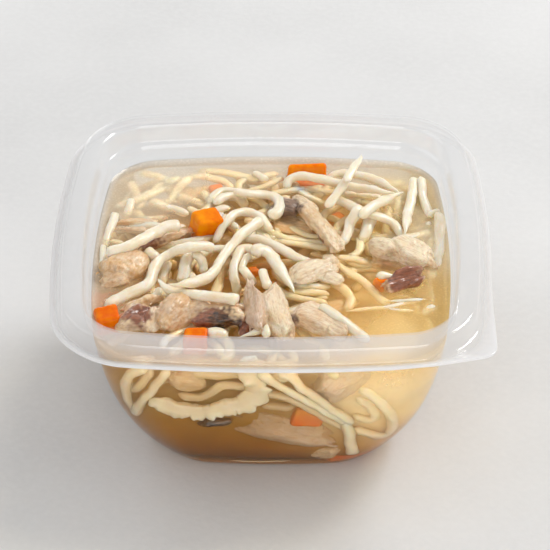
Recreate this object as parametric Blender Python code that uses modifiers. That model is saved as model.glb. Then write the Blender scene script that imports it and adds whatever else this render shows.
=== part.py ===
"""Chicken noodle soup in a square take-away tub: the tub, its broth, the noodle heap, chicken and carrot.

Run with  blender --background --python part.py  or from Blender's text editor.  Metres, +Z up.
The origin is the middle of the tub's underside, -Y is its front, and the pull tab is at its front right corner.
"""

import math

import bmesh
import bpy
import numpy as np
from mathutils import Euler, Vector, noise

MM = 0.001

# Driving dimensions
TUB_HALF = 70.0 * MM  # middle of a side, out to the edge of the lip
TUB_HEIGHT = 68.0 * MM
WALL = 0.7 * MM
LEVEL = 54.0 * MM  # surface of the broth
GAP = 0.35 * MM  # clearance between two solids that touch

# The tub's plan: a square with round corners, whose sides bow outwards by this share of their half length
BOW = 0.0725
SIDE_STEPS = 4
CORNER_STEPS = 6

# Rim, as half widths and heights of the middle of the plastic
LIP_DROP = 6.2 * MM  # the lip lies this far under the top of the rim
LIP_WIDTH = 2.8 * MM
SKIRT_LEAN = 1.0 * MM
LEDGE_OUTER = 65.4 * MM
LEDGE_INNER = 60.9 * MM
RIM_ROUND = 0.75 * MM
SEAT_OUTER = 59.6 * MM
SEAT_INNER = 58.5 * MM
SEAT_HEIGHT = 61.0 * MM
LIP_CORNER = 22.3 * MM
LEDGE_CORNER = 17.0 * MM
SEAT_CORNER = 13.0 * MM
FOOT_CORNER = 20.0 * MM

# The wall curves in from the seat to the foot, as a three-point curve of half width and height
WALL_CURVE = ((58.4 * MM, 60.0 * MM), (55.4 * MM, 21.0 * MM), (41.2 * MM, 0.8 * MM))
WALL_STEPS = 7
FOOT_HALF = 40.0 * MM
FOOT_EASE = 1.4 * MM
FOOT_WIDTH = 5.0 * MM
PANEL_RISE = 1.0 * MM  # the middle of the base stands clear of the table

# Pull tab: the lip runs on into a point at one corner
TAB_TIP = (69.3 * MM, -61.6 * MM)
TAB_FRONT = (50.0 * MM, -66.4 * MM)
TAB_SIDE = (69.2 * MM, -33.0 * MM)
TAB_ROUND = 5.0 * MM

# Chicken: name, middle (mm), length width height (mm), yaw pitch roll (degrees), seed
CHICKEN = (
    ("chicken_left", (-46.5, -6.8, 53.2), (21.5, 14.6, 12.4), (56, -6, 0), 1),
    ("chicken_strands", (-41.4, 11.4, 53.4), (23.0, 8.5, 6.5), (3, 0, 0), 2),
    ("chicken_corner", (-41.9, -33.2, 53.5), (14.5, 12.5, 10.5), (34, 4, 0), 3),
    ("chicken_roasted", (-19.6, -31.4, 53.2), (24.5, 12.0, 11.0), (-6, -3, 0), 4),
    ("chicken_front", (-0.6, -31.2, 55.0), (25.0, 13.0, 12.0), (107, -10, 0), 5),
    ("chicken_pale", (16.2, -36.6, 52.2), (18.5, 12.5, 10.0), (-30, 0, 0), 6),
    ("chicken_middle", (14.3, -9.6, 53.6), (17.5, 11.5, 8.0), (33, -5, 0), 7),
    ("chicken_strip", (12.0, 18.4, 54.8), (34.0, 9.0, 9.0), (-56, 4, 0), 8),
    ("chicken_right", (41.8, -0.6, 53.6), (19.5, 12.5, 12.5), (-24, 0, 0), 9),
    ("chicken_dark", (43.0, -14.4, 53.2), (14.5, 8.0, 8.0), (24, 0, 0), 10),
)

CHUNK_SIDES = 10
CHUNK_RINGS = 7

# Carrot dice: name, middle (mm), size (mm), yaw pitch roll (degrees)
CARROT = (
    ("carrot_back", (11.0, 47.3, 52.6), (14.0, 7.0, 11.0), (1, 0, -34)),
    ("carrot_centre", (-21.8, 15.8, 55.0), (10.0, 9.5, 10.0), (28, 5, 4)),
    ("carrot_corner", (-50.0, -34.4, 53.4), (8.6, 8.8, 8.6), (12, -5, 4)),
    ("carrot_front", (-23.2, -44.0, 52.2), (8.2, 7.5, 9.5), (-3, 0, 3)),
    ("carrot_small", (33.4, -13.0, 53.0), (5.5, 5.5, 5.5), (35, 5, 0)),
)

# Soft meat gives way to what it lies against
PRESSED = (
    ("chicken_corner", "carrot_corner"),
    ("chicken_roasted", "carrot_front"),
    ("chicken_dark", "carrot_small"),
    ("chicken_right", "chicken_dark"),
    ("chicken_roasted", "chicken_corner"),
    ("chicken_roasted", "chicken_front"),
)

# The noodle heap: a rounded square in plan with two bays where the broth lies open
HEAP_HALF = 52.0 * MM
HEAP_SQUARENESS = 5.0
HEAP_BAYS = ((-0.72, 0.42, 0.45), (2.35, 0.24, 0.38))  # direction, depth as a share, spread (radians)
HEAP_RISE = 2.6 * MM  # mean height of the heap above the broth
HEAP_LUMP = 1.5 * MM
HEAP_DEPTH = 14.0 * MM
HEAP_TURNS = 28
HEAP_RINGS = 6


# ---------------------------------------------------------------- scene and materials


def clear_scene():
    for obj in list(bpy.data.objects):
        bpy.data.objects.remove(obj)


def make_collection(name):
    collection = bpy.data.collections.new(name)
    bpy.context.scene.collection.children.link(collection)
    return collection


def make_material(name, colour, roughness, alpha=1.0):
    material = bpy.data.materials.new(name)
    material.use_nodes = True
    shader = material.node_tree.nodes["Principled BSDF"]
    shader.inputs["Base Color"].default_value = (*colour, 1.0)
    shader.inputs["Roughness"].default_value = roughness
    shader.inputs["Metallic"].default_value = 0.0
    shader.inputs["Alpha"].default_value = alpha
    return material


def make_object(name, bm, material, collection):
    """Turns a bmesh into a named object with smooth shading between its edges."""
    mesh = bpy.data.meshes.new(name)
    bm.to_mesh(mesh)
    bm.free()
    mesh.materials.append(material)
    mesh.shade_smooth()
    mesh.set_sharp_from_angle(angle=math.radians(40))
    obj = bpy.data.objects.new(name, mesh)
    collection.objects.link(obj)
    return obj


def make_cutter(name, bm, material, collection):
    cutter = make_object(name, bm, material, collection)
    cutter.hide_render = True
    cutter.display_type = "WIRE"
    return cutter


# ---------------------------------------------------------------- the tub's plan and profile


def plan_ring(half, corner):
    """Points round a square with round corners and bowed sides, from the middle of the +X side, anticlockwise."""
    straight = half - corner
    quarter = [(half, straight * step / SIDE_STEPS) for step in range(-SIDE_STEPS + 1, SIDE_STEPS, 2)]
    for step in range(CORNER_STEPS + 1):
        angle = math.pi / 2 * step / CORNER_STEPS
        quarter.append((straight + corner * math.cos(angle), straight + corner * math.sin(angle)))
    ring = []
    for turn in range(4):
        c, s = round(math.cos(turn * math.pi / 2)), round(math.sin(turn * math.pi / 2))
        for x, y in quarter:
            u, v = x * c - y * s, x * s + y * c
            ring.append((u * (1 - BOW * (v / half) ** 2), v * (1 - BOW * (u / half) ** 2)))
    return ring


def lerp(a, b, share):
    return tuple(p + (q - p) * share for p, q in zip(a, b))


def tab_point(share):
    """A point along the tab's edge, from the front of the lip (0) by the tip to its right side (1)."""
    tip, front, side = Vector(TAB_TIP), Vector(TAB_FRONT), Vector(TAB_SIDE)
    before = tip + (front - tip).normalized() * TAB_ROUND
    after = tip + (side - tip).normalized() * TAB_ROUND
    if share < 0.35:
        return lerp(front, before, share / 0.35)
    if share > 0.65:
        return lerp(after, side, (share - 0.65) / 0.35)
    t = (share - 0.35) / 0.3
    return tuple(before * (1 - t) ** 2 + tip * 2 * t * (1 - t) + after * t**2)


def add_tab(ring):
    """Draws the front right corner of the lip out into the pull tab."""
    per_quarter = len(ring) // 4
    first = 3 * per_quarter + SIDE_STEPS
    tabbed = list(ring)
    for step in range(CORNER_STEPS + 1):
        tabbed[first + step] = tab_point(step / CORNER_STEPS)
    return tabbed


def wall_corner(z):
    return FOOT_CORNER + (SEAT_CORNER - FOOT_CORNER) * min(z / SEAT_HEIGHT, 1.0)


def wall_stations():
    """(half width, height, corner radius) down the wall, closer together where it curves in to the foot."""
    stations = []
    for step in range(WALL_STEPS + 1):
        t = 0.06 + 0.94 * (step / WALL_STEPS) ** 0.8
        (x0, z0), (x1, z1), (x2, z2) = WALL_CURVE
        half = (1 - t) ** 2 * x0 + 2 * t * (1 - t) * x1 + t**2 * x2
        z = (1 - t) ** 2 * z0 + 2 * t * (1 - t) * z1 + t**2 * z2
        stations.append((half, z, wall_corner(z)))
    return stations


def foot_stations():
    """The flat foot and the raised middle of the base."""
    base = WALL / 2
    foot_inner = FOOT_HALF - FOOT_WIDTH
    panel = foot_inner - PANEL_RISE
    return [
        (FOOT_HALF, base, FOOT_CORNER - FOOT_EASE),
        (foot_inner, base, FOOT_CORNER - FOOT_WIDTH),
        (panel, base + PANEL_RISE, FOOT_CORNER - FOOT_WIDTH - PANEL_RISE),
    ]


def rim_stations():
    """(half width, height, corner radius) of the plastic's middle, from the lip's edge in to the lid seat."""
    top = TUB_HEIGHT - WALL / 2
    lip = TUB_HEIGHT - LIP_DROP
    lip_root = TUB_HALF - LIP_WIDTH
    skirt_top = lip_root - SKIRT_LEAN
    return [
        (TUB_HALF, lip, LIP_CORNER),
        (lip_root, lip, LIP_CORNER - LIP_WIDTH),
        (skirt_top, top - RIM_ROUND, LEDGE_CORNER + RIM_ROUND),
        (LEDGE_OUTER, top, LEDGE_CORNER),
        (LEDGE_INNER, top, LEDGE_CORNER - (LEDGE_OUTER - LEDGE_INNER)),
        (LEDGE_INNER - RIM_ROUND, top - RIM_ROUND, SEAT_CORNER + RIM_ROUND),
        (SEAT_OUTER, SEAT_HEIGHT, SEAT_CORNER + RIM_ROUND),
        (SEAT_INNER, SEAT_HEIGHT - WALL, SEAT_CORNER),
    ]


def loft(rings, cap_top):
    """Joins rings of points (x, y, z) by faces, closing the last ring and, if asked, the first."""
    bm = bmesh.new()
    rows = [[bm.verts.new(point) for point in ring] for ring in rings]
    for upper, lower in zip(rows, rows[1:]):
        for i, vertex in enumerate(upper):
            j = (i + 1) % len(upper)
            bm.faces.new((vertex, lower[i], lower[j], upper[j]))
    bm.faces.new(rows[-1])
    if cap_top:
        bm.faces.new(rows[0])
    bmesh.ops.recalc_face_normals(bm, faces=bm.faces)
    return bm


def ring_at(half, z, corner):
    return [(x, y, z) for x, y in plan_ring(half, corner)]


def make_tub(material, collection):
    stations = rim_stations() + wall_stations() + foot_stations()
    rings = [ring_at(*station) for station in stations]
    lip_z = stations[0][1]
    rings[0] = [(x, y, lip_z) for x, y in add_tab([(x, y) for x, y, _ in rings[0]])]
    tub = make_object("tub", loft(rings, cap_top=False), material, collection)
    skin = tub.modifiers.new("plastic", "SOLIDIFY")
    skin.thickness = WALL
    skin.offset = 0.0
    skin.use_even_offset = True
    return tub


# ---------------------------------------------------------------- contents


def inset_stations(stations, inset):
    """The same profile moved into the tub by an inset, every stretch of it by the same distance."""
    flat = [(half, z) for half, z, _ in stations] + [(0.0, stations[-1][1])]
    into = []
    for (half, z), (next_half, next_z) in zip(flat, flat[1:]):
        length = math.hypot(next_half - half, next_z - z)
        into.append(((next_z - z) / length, (half - next_half) / length))
    moved = []
    for i, (half, z, corner) in enumerate(stations):
        (nx, nz), (mx, mz) = into[max(i - 1, 0)], into[i]
        share = inset / (1 + nx * mx + nz * mz)
        moved.append((half + (nx + mx) * share, z + (nz + mz) * share, corner + (nx + mx) * share))
    return moved


def broth_body():
    """The tub's inside up to the level of the broth, one clearance in from the plastic."""
    stations = inset_stations(wall_stations() + foot_stations(), WALL / 2 + GAP)
    below = [station for station in stations if station[1] < LEVEL - 1.5 * MM]
    above = stations[len(stations) - len(below) - 1]
    share = (LEVEL - below[0][1]) / (above[1] - below[0][1])
    surface = lerp(below[0], above, share)
    return loft([ring_at(*station) for station in [surface, *below]], cap_top=True)


def chunk_body(middle, size, turn, seed, grow=0.0):
    """A torn lump of cooked chicken: a bundle of muscle, lobed round its grain, with blunt uneven ends."""
    bm = bmesh.new()
    bmesh.ops.create_uvsphere(bm, u_segments=CHUNK_SIDES, v_segments=CHUNK_RINGS, radius=1.0)
    shift = Vector((seed * 3.1, seed * 1.7, seed * 5.3))
    for vertex in bm.verts:
        along, side, up = vertex.co.z, vertex.co.x, vertex.co.y
        angle = math.atan2(up, side)
        lobes = 1 + 0.08 * math.sin(3 * angle + seed) + 0.05 * math.sin(4 * angle + 2.0 * seed)
        taper = 1 - 0.16 * along * math.sin(1.3 * seed)
        full = (1 - min(abs(along), 1.0) ** 3) ** 0.4 / max(math.hypot(side, up), 0.01)
        torn = along * (1 + 0.13 * math.sin(2 * angle + seed))
        bend = 0.14 * math.sin(0.9 * seed) * (along**2 - 0.4)
        girth = lobes * taper * full
        lump = 1 + 0.16 * noise.noise(vertex.co * 1.6 + shift)
        vertex.co = Vector((torn, side * girth + bend, up * girth)) * lump
    spread = [max(abs(v.co[axis]) for v in bm.verts) for axis in range(3)]
    half = [0.5 * length * MM / reach for length, reach in zip(size, spread)]
    rotation = Euler([math.radians(a) for a in (turn[2], turn[1], turn[0])]).to_matrix()
    for vertex in bm.verts:
        scaled = Vector(c * h for c, h in zip(vertex.co, half))
        vertex.co = rotation @ scaled + Vector(middle) * MM
    bmesh.ops.triangulate(bm, faces=bm.faces)
    push_out(bm, grow)
    return bm


def dice_body(middle, size, turn, grow=0.0):
    """A knife-cut dice of carrot: a block with eased edges whose top is a little smaller and askew."""
    bm = bmesh.new()
    bmesh.ops.create_cube(bm, size=1.0)
    for vertex in bm.verts:
        if vertex.co.z > 0:
            vertex.co.x = vertex.co.x * 0.93 + 0.03
            vertex.co.y *= 0.90
        vertex.co.z += 0.05 * vertex.co.x
    rotation = Euler([math.radians(a) for a in (turn[2], turn[1], turn[0])]).to_matrix()
    for vertex in bm.verts:
        scaled = Vector(c * (length * MM + 2 * grow) for c, length in zip(vertex.co, size))
        vertex.co = rotation @ scaled + Vector(middle) * MM
    bmesh.ops.bevel(bm, geom=bm.edges[:], offset=0.9 * MM, segments=2, profile=0.5, affect="EDGES")
    return bm


def push_out(bm, distance):
    """Moves every face of a body outwards by a distance."""
    if distance:
        bm.normal_update()
        shifts = [vertex.normal * distance * vertex.calc_shell_factor() for vertex in bm.verts]
        for vertex, shift in zip(bm.verts, shifts):
            vertex.co += shift


def heap_reach(angle):
    """How far the noodle heap reaches from its middle in one direction."""
    c, s = abs(math.cos(angle)), abs(math.sin(angle))
    reach = HEAP_HALF / (c**HEAP_SQUARENESS + s**HEAP_SQUARENESS) ** (1 / HEAP_SQUARENESS)
    for direction, depth, spread in HEAP_BAYS:
        away = (angle - direction + math.pi) % (2 * math.pi) - math.pi
        reach *= 1 - depth * math.exp(-((away / spread) ** 2))
    return reach + 1.2 * MM * math.sin(9 * angle) + 0.8 * MM * math.sin(14 * angle + 1.0)


def heap_body(grow=0.0):
    """The tangle of noodles as one lump that breaks the surface of the broth."""
    bm = bmesh.new()

    def row(share, height):
        made = []
        for turn in range(HEAP_TURNS):
            angle = 2 * math.pi * turn / HEAP_TURNS
            reach = heap_reach(angle) * share
            x, y = reach * math.cos(angle), reach * math.sin(angle)
            made.append(bm.verts.new((x, y, height(x, y, share))))
        return made

    def top(x, y, share):
        lump = HEAP_LUMP * noise.noise(Vector((x, y, 0)) / (11 * MM))
        return LEVEL - 4 * MM + (4 * MM + HEAP_RISE + lump) * (1 - share**9)

    def bottom(x, y, share):
        lump = HEAP_LUMP * noise.noise(Vector((x, y, LEVEL)) / (14 * MM))
        return LEVEL - 4 * MM - (HEAP_DEPTH - 4 * MM + lump) * (1 - share**4)

    shares = [math.sin(math.pi / 2 * ring / HEAP_RINGS) for ring in range(1, HEAP_RINGS + 1)]
    rows = [row(share, top) for share in shares]
    rows += [row(share, bottom) for share in reversed(shares[:-1])]
    for upper, lower in zip(rows, rows[1:]):
        for i, vertex in enumerate(upper):
            j = (i + 1) % HEAP_TURNS
            bm.faces.new((vertex, lower[i], lower[j], upper[j]))
    for last, height in ((rows[0], top), (rows[-1], bottom)):
        hub = bm.verts.new((0, 0, height(0, 0, 0)))
        for i, vertex in enumerate(last):
            bm.faces.new((vertex, last[(i + 1) % HEAP_TURNS], hub))
    bmesh.ops.triangulate(bm, faces=bm.faces)
    bmesh.ops.recalc_face_normals(bm, faces=bm.faces)
    push_out(bm, grow)
    return bm


# ---------------------------------------------------------------- assembly


def cut(obj, name, cutters):
    """Takes a cutter object, or every object of a collection, out of obj."""
    boolean = obj.modifiers.new(name, "BOOLEAN")
    boolean.operation = "DIFFERENCE"
    boolean.solver = "EXACT"
    if isinstance(cutters, bpy.types.Collection):
        boolean.operand_type = "COLLECTION"
        boolean.collection = cutters
    else:
        boolean.object = cutters


def main():
    clear_scene()
    soup = make_collection("chicken_noodle_soup")
    cutters = make_collection("cutters")
    clearances = bpy.data.collections.new("food_clearances")
    cutters.children.link(clearances)

    plastic = make_material("clear_plastic", (0.86, 0.88, 0.89), 0.2, alpha=0.45)
    broth = make_material("broth", (0.72, 0.52, 0.24), 0.05, alpha=0.7)
    noodle = make_material("noodle", (0.83, 0.76, 0.60), 0.35)
    meat = make_material("chicken", (0.66, 0.50, 0.36), 0.5)
    carrot = make_material("carrot", (0.86, 0.27, 0.02), 0.35)

    make_tub(plastic, soup)
    pieces, rooms = {}, {}
    for name, *shape in CHICKEN:
        pieces[name] = make_object(name, chunk_body(*shape), meat, soup)
        rooms[name] = make_cutter(name + "_room", chunk_body(*shape, grow=GAP), meat, clearances)
    for name, *shape in CARROT:
        pieces[name] = make_object(name, dice_body(*shape), carrot, soup)
        rooms[name] = make_cutter(name + "_room", dice_body(*shape, grow=GAP), carrot, clearances)
    for soft, firm in PRESSED:
        cut(pieces[soft], firm, rooms[firm])

    heap = make_object("noodles", heap_body(), noodle, soup)
    cut(heap, "food", clearances)
    heap_room = make_cutter("noodles_room", heap_body(grow=GAP), noodle, cutters)
    liquid = make_object("broth", broth_body(), broth, soup)
    cut(liquid, "noodles", heap_room)
    cut(liquid, "food", clearances)


main()
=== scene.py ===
"""Chicken noodle soup in a clear square tub: the visual model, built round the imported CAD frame.

Lengths are millimetres in the frame of the CAD, with z up from the table. Meshes are stored in metres, and
the materials work in metres.
"""

import itertools
import math

import bpy
import numpy as np
from mathutils import Euler, Matrix, Vector, kdtree


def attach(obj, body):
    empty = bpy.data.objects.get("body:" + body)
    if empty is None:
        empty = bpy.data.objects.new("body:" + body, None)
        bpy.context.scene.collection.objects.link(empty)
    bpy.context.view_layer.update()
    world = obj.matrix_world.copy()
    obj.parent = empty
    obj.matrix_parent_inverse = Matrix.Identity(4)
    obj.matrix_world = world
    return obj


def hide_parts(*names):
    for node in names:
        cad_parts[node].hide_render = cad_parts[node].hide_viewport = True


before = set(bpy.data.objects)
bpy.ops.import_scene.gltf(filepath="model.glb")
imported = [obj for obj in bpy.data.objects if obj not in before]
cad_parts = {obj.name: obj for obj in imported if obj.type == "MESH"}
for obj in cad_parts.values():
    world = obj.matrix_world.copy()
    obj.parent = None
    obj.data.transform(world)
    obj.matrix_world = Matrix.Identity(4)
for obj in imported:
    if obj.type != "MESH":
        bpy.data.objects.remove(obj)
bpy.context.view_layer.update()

MM = 0.001
LEVEL = 54.0  # surface of the broth
SIGHT_PLANE = LEVEL + 2.0  # food on top is placed by where its sight line meets this height
BROTH_IOR = 1.34

# The photo's view
AZIMUTH, ELEVATION, ROLL = (math.radians(a) for a in (1.042, 35.842, -0.288))
CAMERA_AIM = (0.0, 0.0, 53.0)
CAMERA_DISTANCE = 852.6
CAMERA_SHIFT = (0.001245, -0.005884)  # sideways and up, as shares of the distance
CAMERA_LENS = 171.97
TO_EYE = np.array([
    math.sin(AZIMUTH) * math.cos(ELEVATION),
    -math.cos(AZIMUTH) * math.cos(ELEVATION),
    math.sin(ELEVATION),
])
SIGHT_SLOPE = TO_EYE[:2] / TO_EYE[2]
SINE_IN = math.cos(ELEVATION) / BROTH_IOR
SUNK_RUN = SINE_IN / math.sqrt(1 - SINE_IN**2)  # how far back a sight line runs for each millimetre it sinks

# ---------------------------------------------------------------- the tub's outline

BOW = 0.0725  # how far the sides bow, as a share of the half width
BOW_LIMIT = 1.2  # how far along a side the bow is followed, as a share of the half width
SIDE_STEPS = 6
CORNER_STEPS = 18
WALL = 0.7
BASE_TOP = 1.6
RIM = (  # half width, height and corner radius of the middle of the plastic, from the lip's edge to the seat
    (69.9, 61.8, 22.2),
    (67.2, 61.8, 19.5),
    (66.2, 66.9, 17.75),
    (65.4, 67.65, 17.0),
    (60.9, 67.65, 12.5),
    (60.15, 66.9, 13.75),
    (59.6, 61.0, 13.75),
    (58.5, 60.3, 13.0),
)
WALL_CURVE = ((58.4, 60.0), (55.4, 21.0), (41.2, 0.8))  # half width and height: two ends and a bend
WALL_START = 0.03  # share of that curve which the seat takes up
FOOT = ((40.0, 0.35, 18.6), (35.0, 0.35, 15.0), (34.0, 1.35, 14.0), (22.0, 1.35, 9.0), (9.0, 1.35, 4.0))
LOW_CORNER, CORNER_LOSS, CORNER_HEIGHT = 20.0, 7.0, 61.0  # the corners tighten up the wall
TAB_TIP, TAB_FRONT, TAB_SIDE, TAB_ROUND = (69.3, -61.6), (50.0, -66.4), (69.2, -33.0), 5.0
TAB_STRAIGHT = 0.35  # share of the tab's edge on each side of its round tip
BEAD, BEAD_TURN, BEAD_STEPS = 0.42, math.radians(115), 9  # radius of the lip's edge, and how far round it goes


def bezier(start, bend, end, t):
    return (1 - t) ** 2 * start + 2 * t * (1 - t) * bend + t**2 * end


def wall_corner(z):
    return LOW_CORNER - CORNER_LOSS * np.clip(z / CORNER_HEIGHT, 0, 1)


def wall_point(t):
    """Half width, height and corner radius at a share of the way down the wall."""
    half, z = bezier(*np.array(WALL_CURVE), t)
    return half, z, wall_corner(z)


def wall_stations(steps):
    """Stations down the wall, from just under the seat to the foot."""
    return [wall_point(t) for t in WALL_START + (1 - WALL_START) * np.linspace(0, 1, steps) ** 0.9]


WALL_HALF, WALL_Z, _ = np.array([wall_point(t) for t in np.linspace(0.0, 1.0, 200)])[::-1].T


def wall_half(z):
    return np.interp(z, WALL_Z, WALL_HALF)


def plan(half, corner, sides=SIDE_STEPS, corners=CORNER_STEPS):
    """Points round a square with round corners and bowed sides, anticlockwise from the +X side."""
    straight = half - corner
    quarter = [(half, straight * k / sides) for k in range(-sides + 1, sides, 2)]
    for k in range(corners + 1):
        a = math.pi / 2 * k / corners
        quarter.append((straight + corner * math.cos(a), straight + corner * math.sin(a)))
    x, y = np.array(quarter).T
    quarters = [np.column_stack([x * c - y * s, x * s + y * c]) for c, s in ((1, 0), (0, 1), (-1, 0), (0, -1))]
    ring = np.vstack(quarters)
    return ring * (1 - BOW * (ring[:, ::-1] / half) ** 2)


def raised(ring, z):
    """A flat ring at a height."""
    return np.column_stack([ring, np.full(len(ring), z)])


def tab_point(share):
    """A point of the tab's edge, from its root on the front round the tip to its root on the side."""
    tip, front, side = Vector(TAB_TIP), Vector(TAB_FRONT), Vector(TAB_SIDE)
    before = tip + (front - tip).normalized() * TAB_ROUND
    after = tip + (side - tip).normalized() * TAB_ROUND
    if share < TAB_STRAIGHT:
        return front.lerp(before, share / TAB_STRAIGHT)
    if share > 1 - TAB_STRAIGHT:
        return after.lerp(side, (share - 1 + TAB_STRAIGHT) / TAB_STRAIGHT)
    return bezier(before, tip, after, (share - TAB_STRAIGHT) / (1 - 2 * TAB_STRAIGHT))


def with_tab(ring):
    """The lip's edge with the pull tab in place of its front right corner."""
    tabbed = ring.copy()
    first = 3 * (len(ring) // 4) + SIDE_STEPS
    steps = CORNER_STEPS + 1
    for k in range(steps + 1):
        tabbed[(first + k) % len(ring)] = tab_point(k / steps)
    return tabbed


def eased(stations, reach, steps=4):
    """The profile with every corner rounded off over this reach."""
    stations = [np.array(s, float) for s in stations]
    out = [stations[0]]
    for before, here, after in zip(stations, stations[1:], stations[2:]):
        ends = []
        for way in (before - here, after - here):
            length = np.linalg.norm(way[:2])
            ends.append(here + way / length * min(reach, 0.45 * length))
        out += [bezier(ends[0], here, ends[1], t) for t in np.linspace(0, 1, steps + 1)]
    return out + [stations[-1]]


def inset(stations, distance):
    """The profile moved to its upper and inner side."""
    flat = [s[:2] for s in stations] + [(0.0, stations[-1][1])]
    into = []
    for (half, z), (next_half, next_z) in zip(flat, flat[1:]):
        length = max(math.hypot(next_half - half, next_z - z), 1e-9)
        into.append(((next_z - z) / length, (half - next_half) / length))
    moved = []
    for i, (half, z, corner) in enumerate(stations):
        (ax, az), (bx, bz) = into[max(i - 1, 0)], into[i]
        share = distance / (1 + ax * bx + az * bz)
        inwards = (ax + bx) * share
        moved.append((half + inwards, z + (az + bz) * share, max(corner + inwards, 0.5)))
    return moved


# ---------------------------------------------------------------- tables, noise and curves


def table(text):
    """Rows of names, numbers and points. An indented line goes on with the row over it."""
    def read(word):
        if word[0].isalpha():
            return word
        values = tuple(float(v) for v in word.split(","))
        return values if len(values) > 1 else values[0]

    return [[read(word) for word in row.split()] for row in text.strip().replace("\n ", " ").splitlines()]


def lattice_noise(points, seed):
    """Smooth noise from -1 to 1 at each point."""
    points = np.asarray(points, float)
    cell = np.floor(points).astype(np.int64)
    part = points - cell
    part = part * part * (3 - 2 * part)
    total = np.zeros(len(points))
    for corner in itertools.product((0, 1), repeat=3):
        key = cell + np.array(corner)
        h = (key[:, 0] * 73856093) ^ (key[:, 1] * 19349663) ^ (key[:, 2] * 83492791) ^ (seed * 265443576)
        h = ((h ^ (h >> 13)) * 1274126177) & 0x7FFFFFFF
        h ^= h >> 15
        weight = np.prod(np.where(np.array(corner) == 1, part, 1 - part), axis=1)
        total += weight * ((h & 0xFFFF) / 32767.5 - 1)
    return total


def smoothstep(low, high, value):
    t = np.clip((value - low) / (high - low), 0, 1)
    return t * t * (3 - 2 * t)


def soften(values, sigma):
    """Gaussian smoothing of rows, with the ends held."""
    reach = max(1, int(3 * sigma))
    kernel = np.exp(-0.5 * (np.arange(-reach, reach + 1) / sigma) ** 2)
    kernel /= kernel.sum()
    values = np.asarray(values, float)
    padded = np.concatenate([np.repeat(values[:1], reach, 0), values, np.repeat(values[-1:], reach, 0)])
    if values.ndim == 1:
        return np.convolve(padded, kernel, "valid")
    return np.column_stack([np.convolve(column, kernel, "valid") for column in padded.T])


def lengths_along(path):
    return np.concatenate([[0], np.cumsum(np.linalg.norm(np.diff(path, axis=0), axis=1))])


def curve_through(points, step):
    """Points at even steps along a smooth curve through the given ones."""
    p = np.asarray(points, float)
    if len(p) == 2:
        p = np.vstack([p[0], (p[0] + p[1]) / 2, p[1]])
    ends = np.vstack([2 * p[0] - p[1], p, 2 * p[-1] - p[-2]])
    t = np.linspace(0, 1, 12, endpoint=False)[:, None]
    fine = []
    for a, b, c, d in zip(ends, ends[1:], ends[2:], ends[3:]):
        square, cube = 2 * a - 5 * b + 4 * c - d, 3 * b - a - 3 * c + d
        fine.append(0.5 * (2 * b + (c - a) * t + square * t**2 + cube * t**3))
    fine = np.vstack([*fine, p[-1:]])
    run = lengths_along(fine)
    s = np.linspace(0, run[-1], max(5, int(run[-1] / step) + 1))
    return np.column_stack([np.interp(s, run, column) for column in fine.T])


# ---------------------------------------------------------------- meshes


def mesh_object(name, points, faces):
    mesh = bpy.data.meshes.new(name)
    mesh.from_pydata((np.asarray(points) * MM).tolist(), [], faces)
    mesh.validate()
    mesh.shade_smooth()
    obj = bpy.data.objects.new(name, mesh)
    bpy.context.scene.collection.objects.link(obj)
    return obj


def points_of(obj):
    co = np.zeros(len(obj.data.vertices) * 3, np.float32)
    obj.data.vertices.foreach_get("co", co)
    return co.reshape(-1, 3).astype(float) / MM


def paint(obj, name, values):
    """Stores a number or a colour for each point of a mesh."""
    values = np.asarray(values, np.float32)
    kind, key = ("FLOAT", "value") if values.ndim == 1 else ("FLOAT_VECTOR", "vector")
    obj.data.attributes.new(name, kind, "POINT").data.foreach_set(key, values.ravel())


def evaluated(obj):
    """Swaps a mesh for the one its modifiers make."""
    bpy.context.view_layer.update()
    graph = bpy.context.evaluated_depsgraph_get()
    mesh = bpy.data.meshes.new_from_object(obj.evaluated_get(graph))
    old = obj.data
    obj.modifiers.clear()
    obj.data = mesh
    bpy.data.meshes.remove(old)


def subdivide(obj):
    fine = obj.modifiers.new("round", "SUBSURF")
    fine.levels = fine.render_levels = 1
    evaluated(obj)


def rings_to_faces(rows, count, closed=True):
    """Faces between rings of points, with a face over each end where they are closed."""
    faces = []
    for r in range(rows - 1):
        a, b = r * count, (r + 1) * count
        for i in range(count):
            j = (i + 1) % count
            faces.append((a + i, b + i, b + j, a + j))
    if closed:
        faces.append(tuple(range(count)))
        faces.append(tuple(reversed(range((rows - 1) * count, rows * count))))
    return faces


def rings_and_fans(rows, count):
    """Faces between rings of points, and fans over both ends to the two points that follow the rings."""
    faces = rings_to_faces(rows, count, False)
    first, end = rows * count, (rows - 1) * count
    for i in range(count):
        j = (i + 1) % count
        faces.append((i, j, first))
        faces.append((end + j, end + i, first + 1))
    return faces


def face_out(obj):
    """Turns every face of a closed mesh outwards."""
    points = points_of(obj)
    obj.data.calc_loop_triangles()
    tris = np.zeros(len(obj.data.loop_triangles) * 3, np.int32)
    obj.data.loop_triangles.foreach_get("vertices", tris)
    corners = points[tris.reshape(-1, 3)]
    if np.einsum("ij,ij->i", corners[:, 0], np.cross(corners[:, 1], corners[:, 2])).sum() < 0:
        obj.data.flip_normals()
    return obj


# ---------------------------------------------------------------- how things fade in the broth

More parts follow.
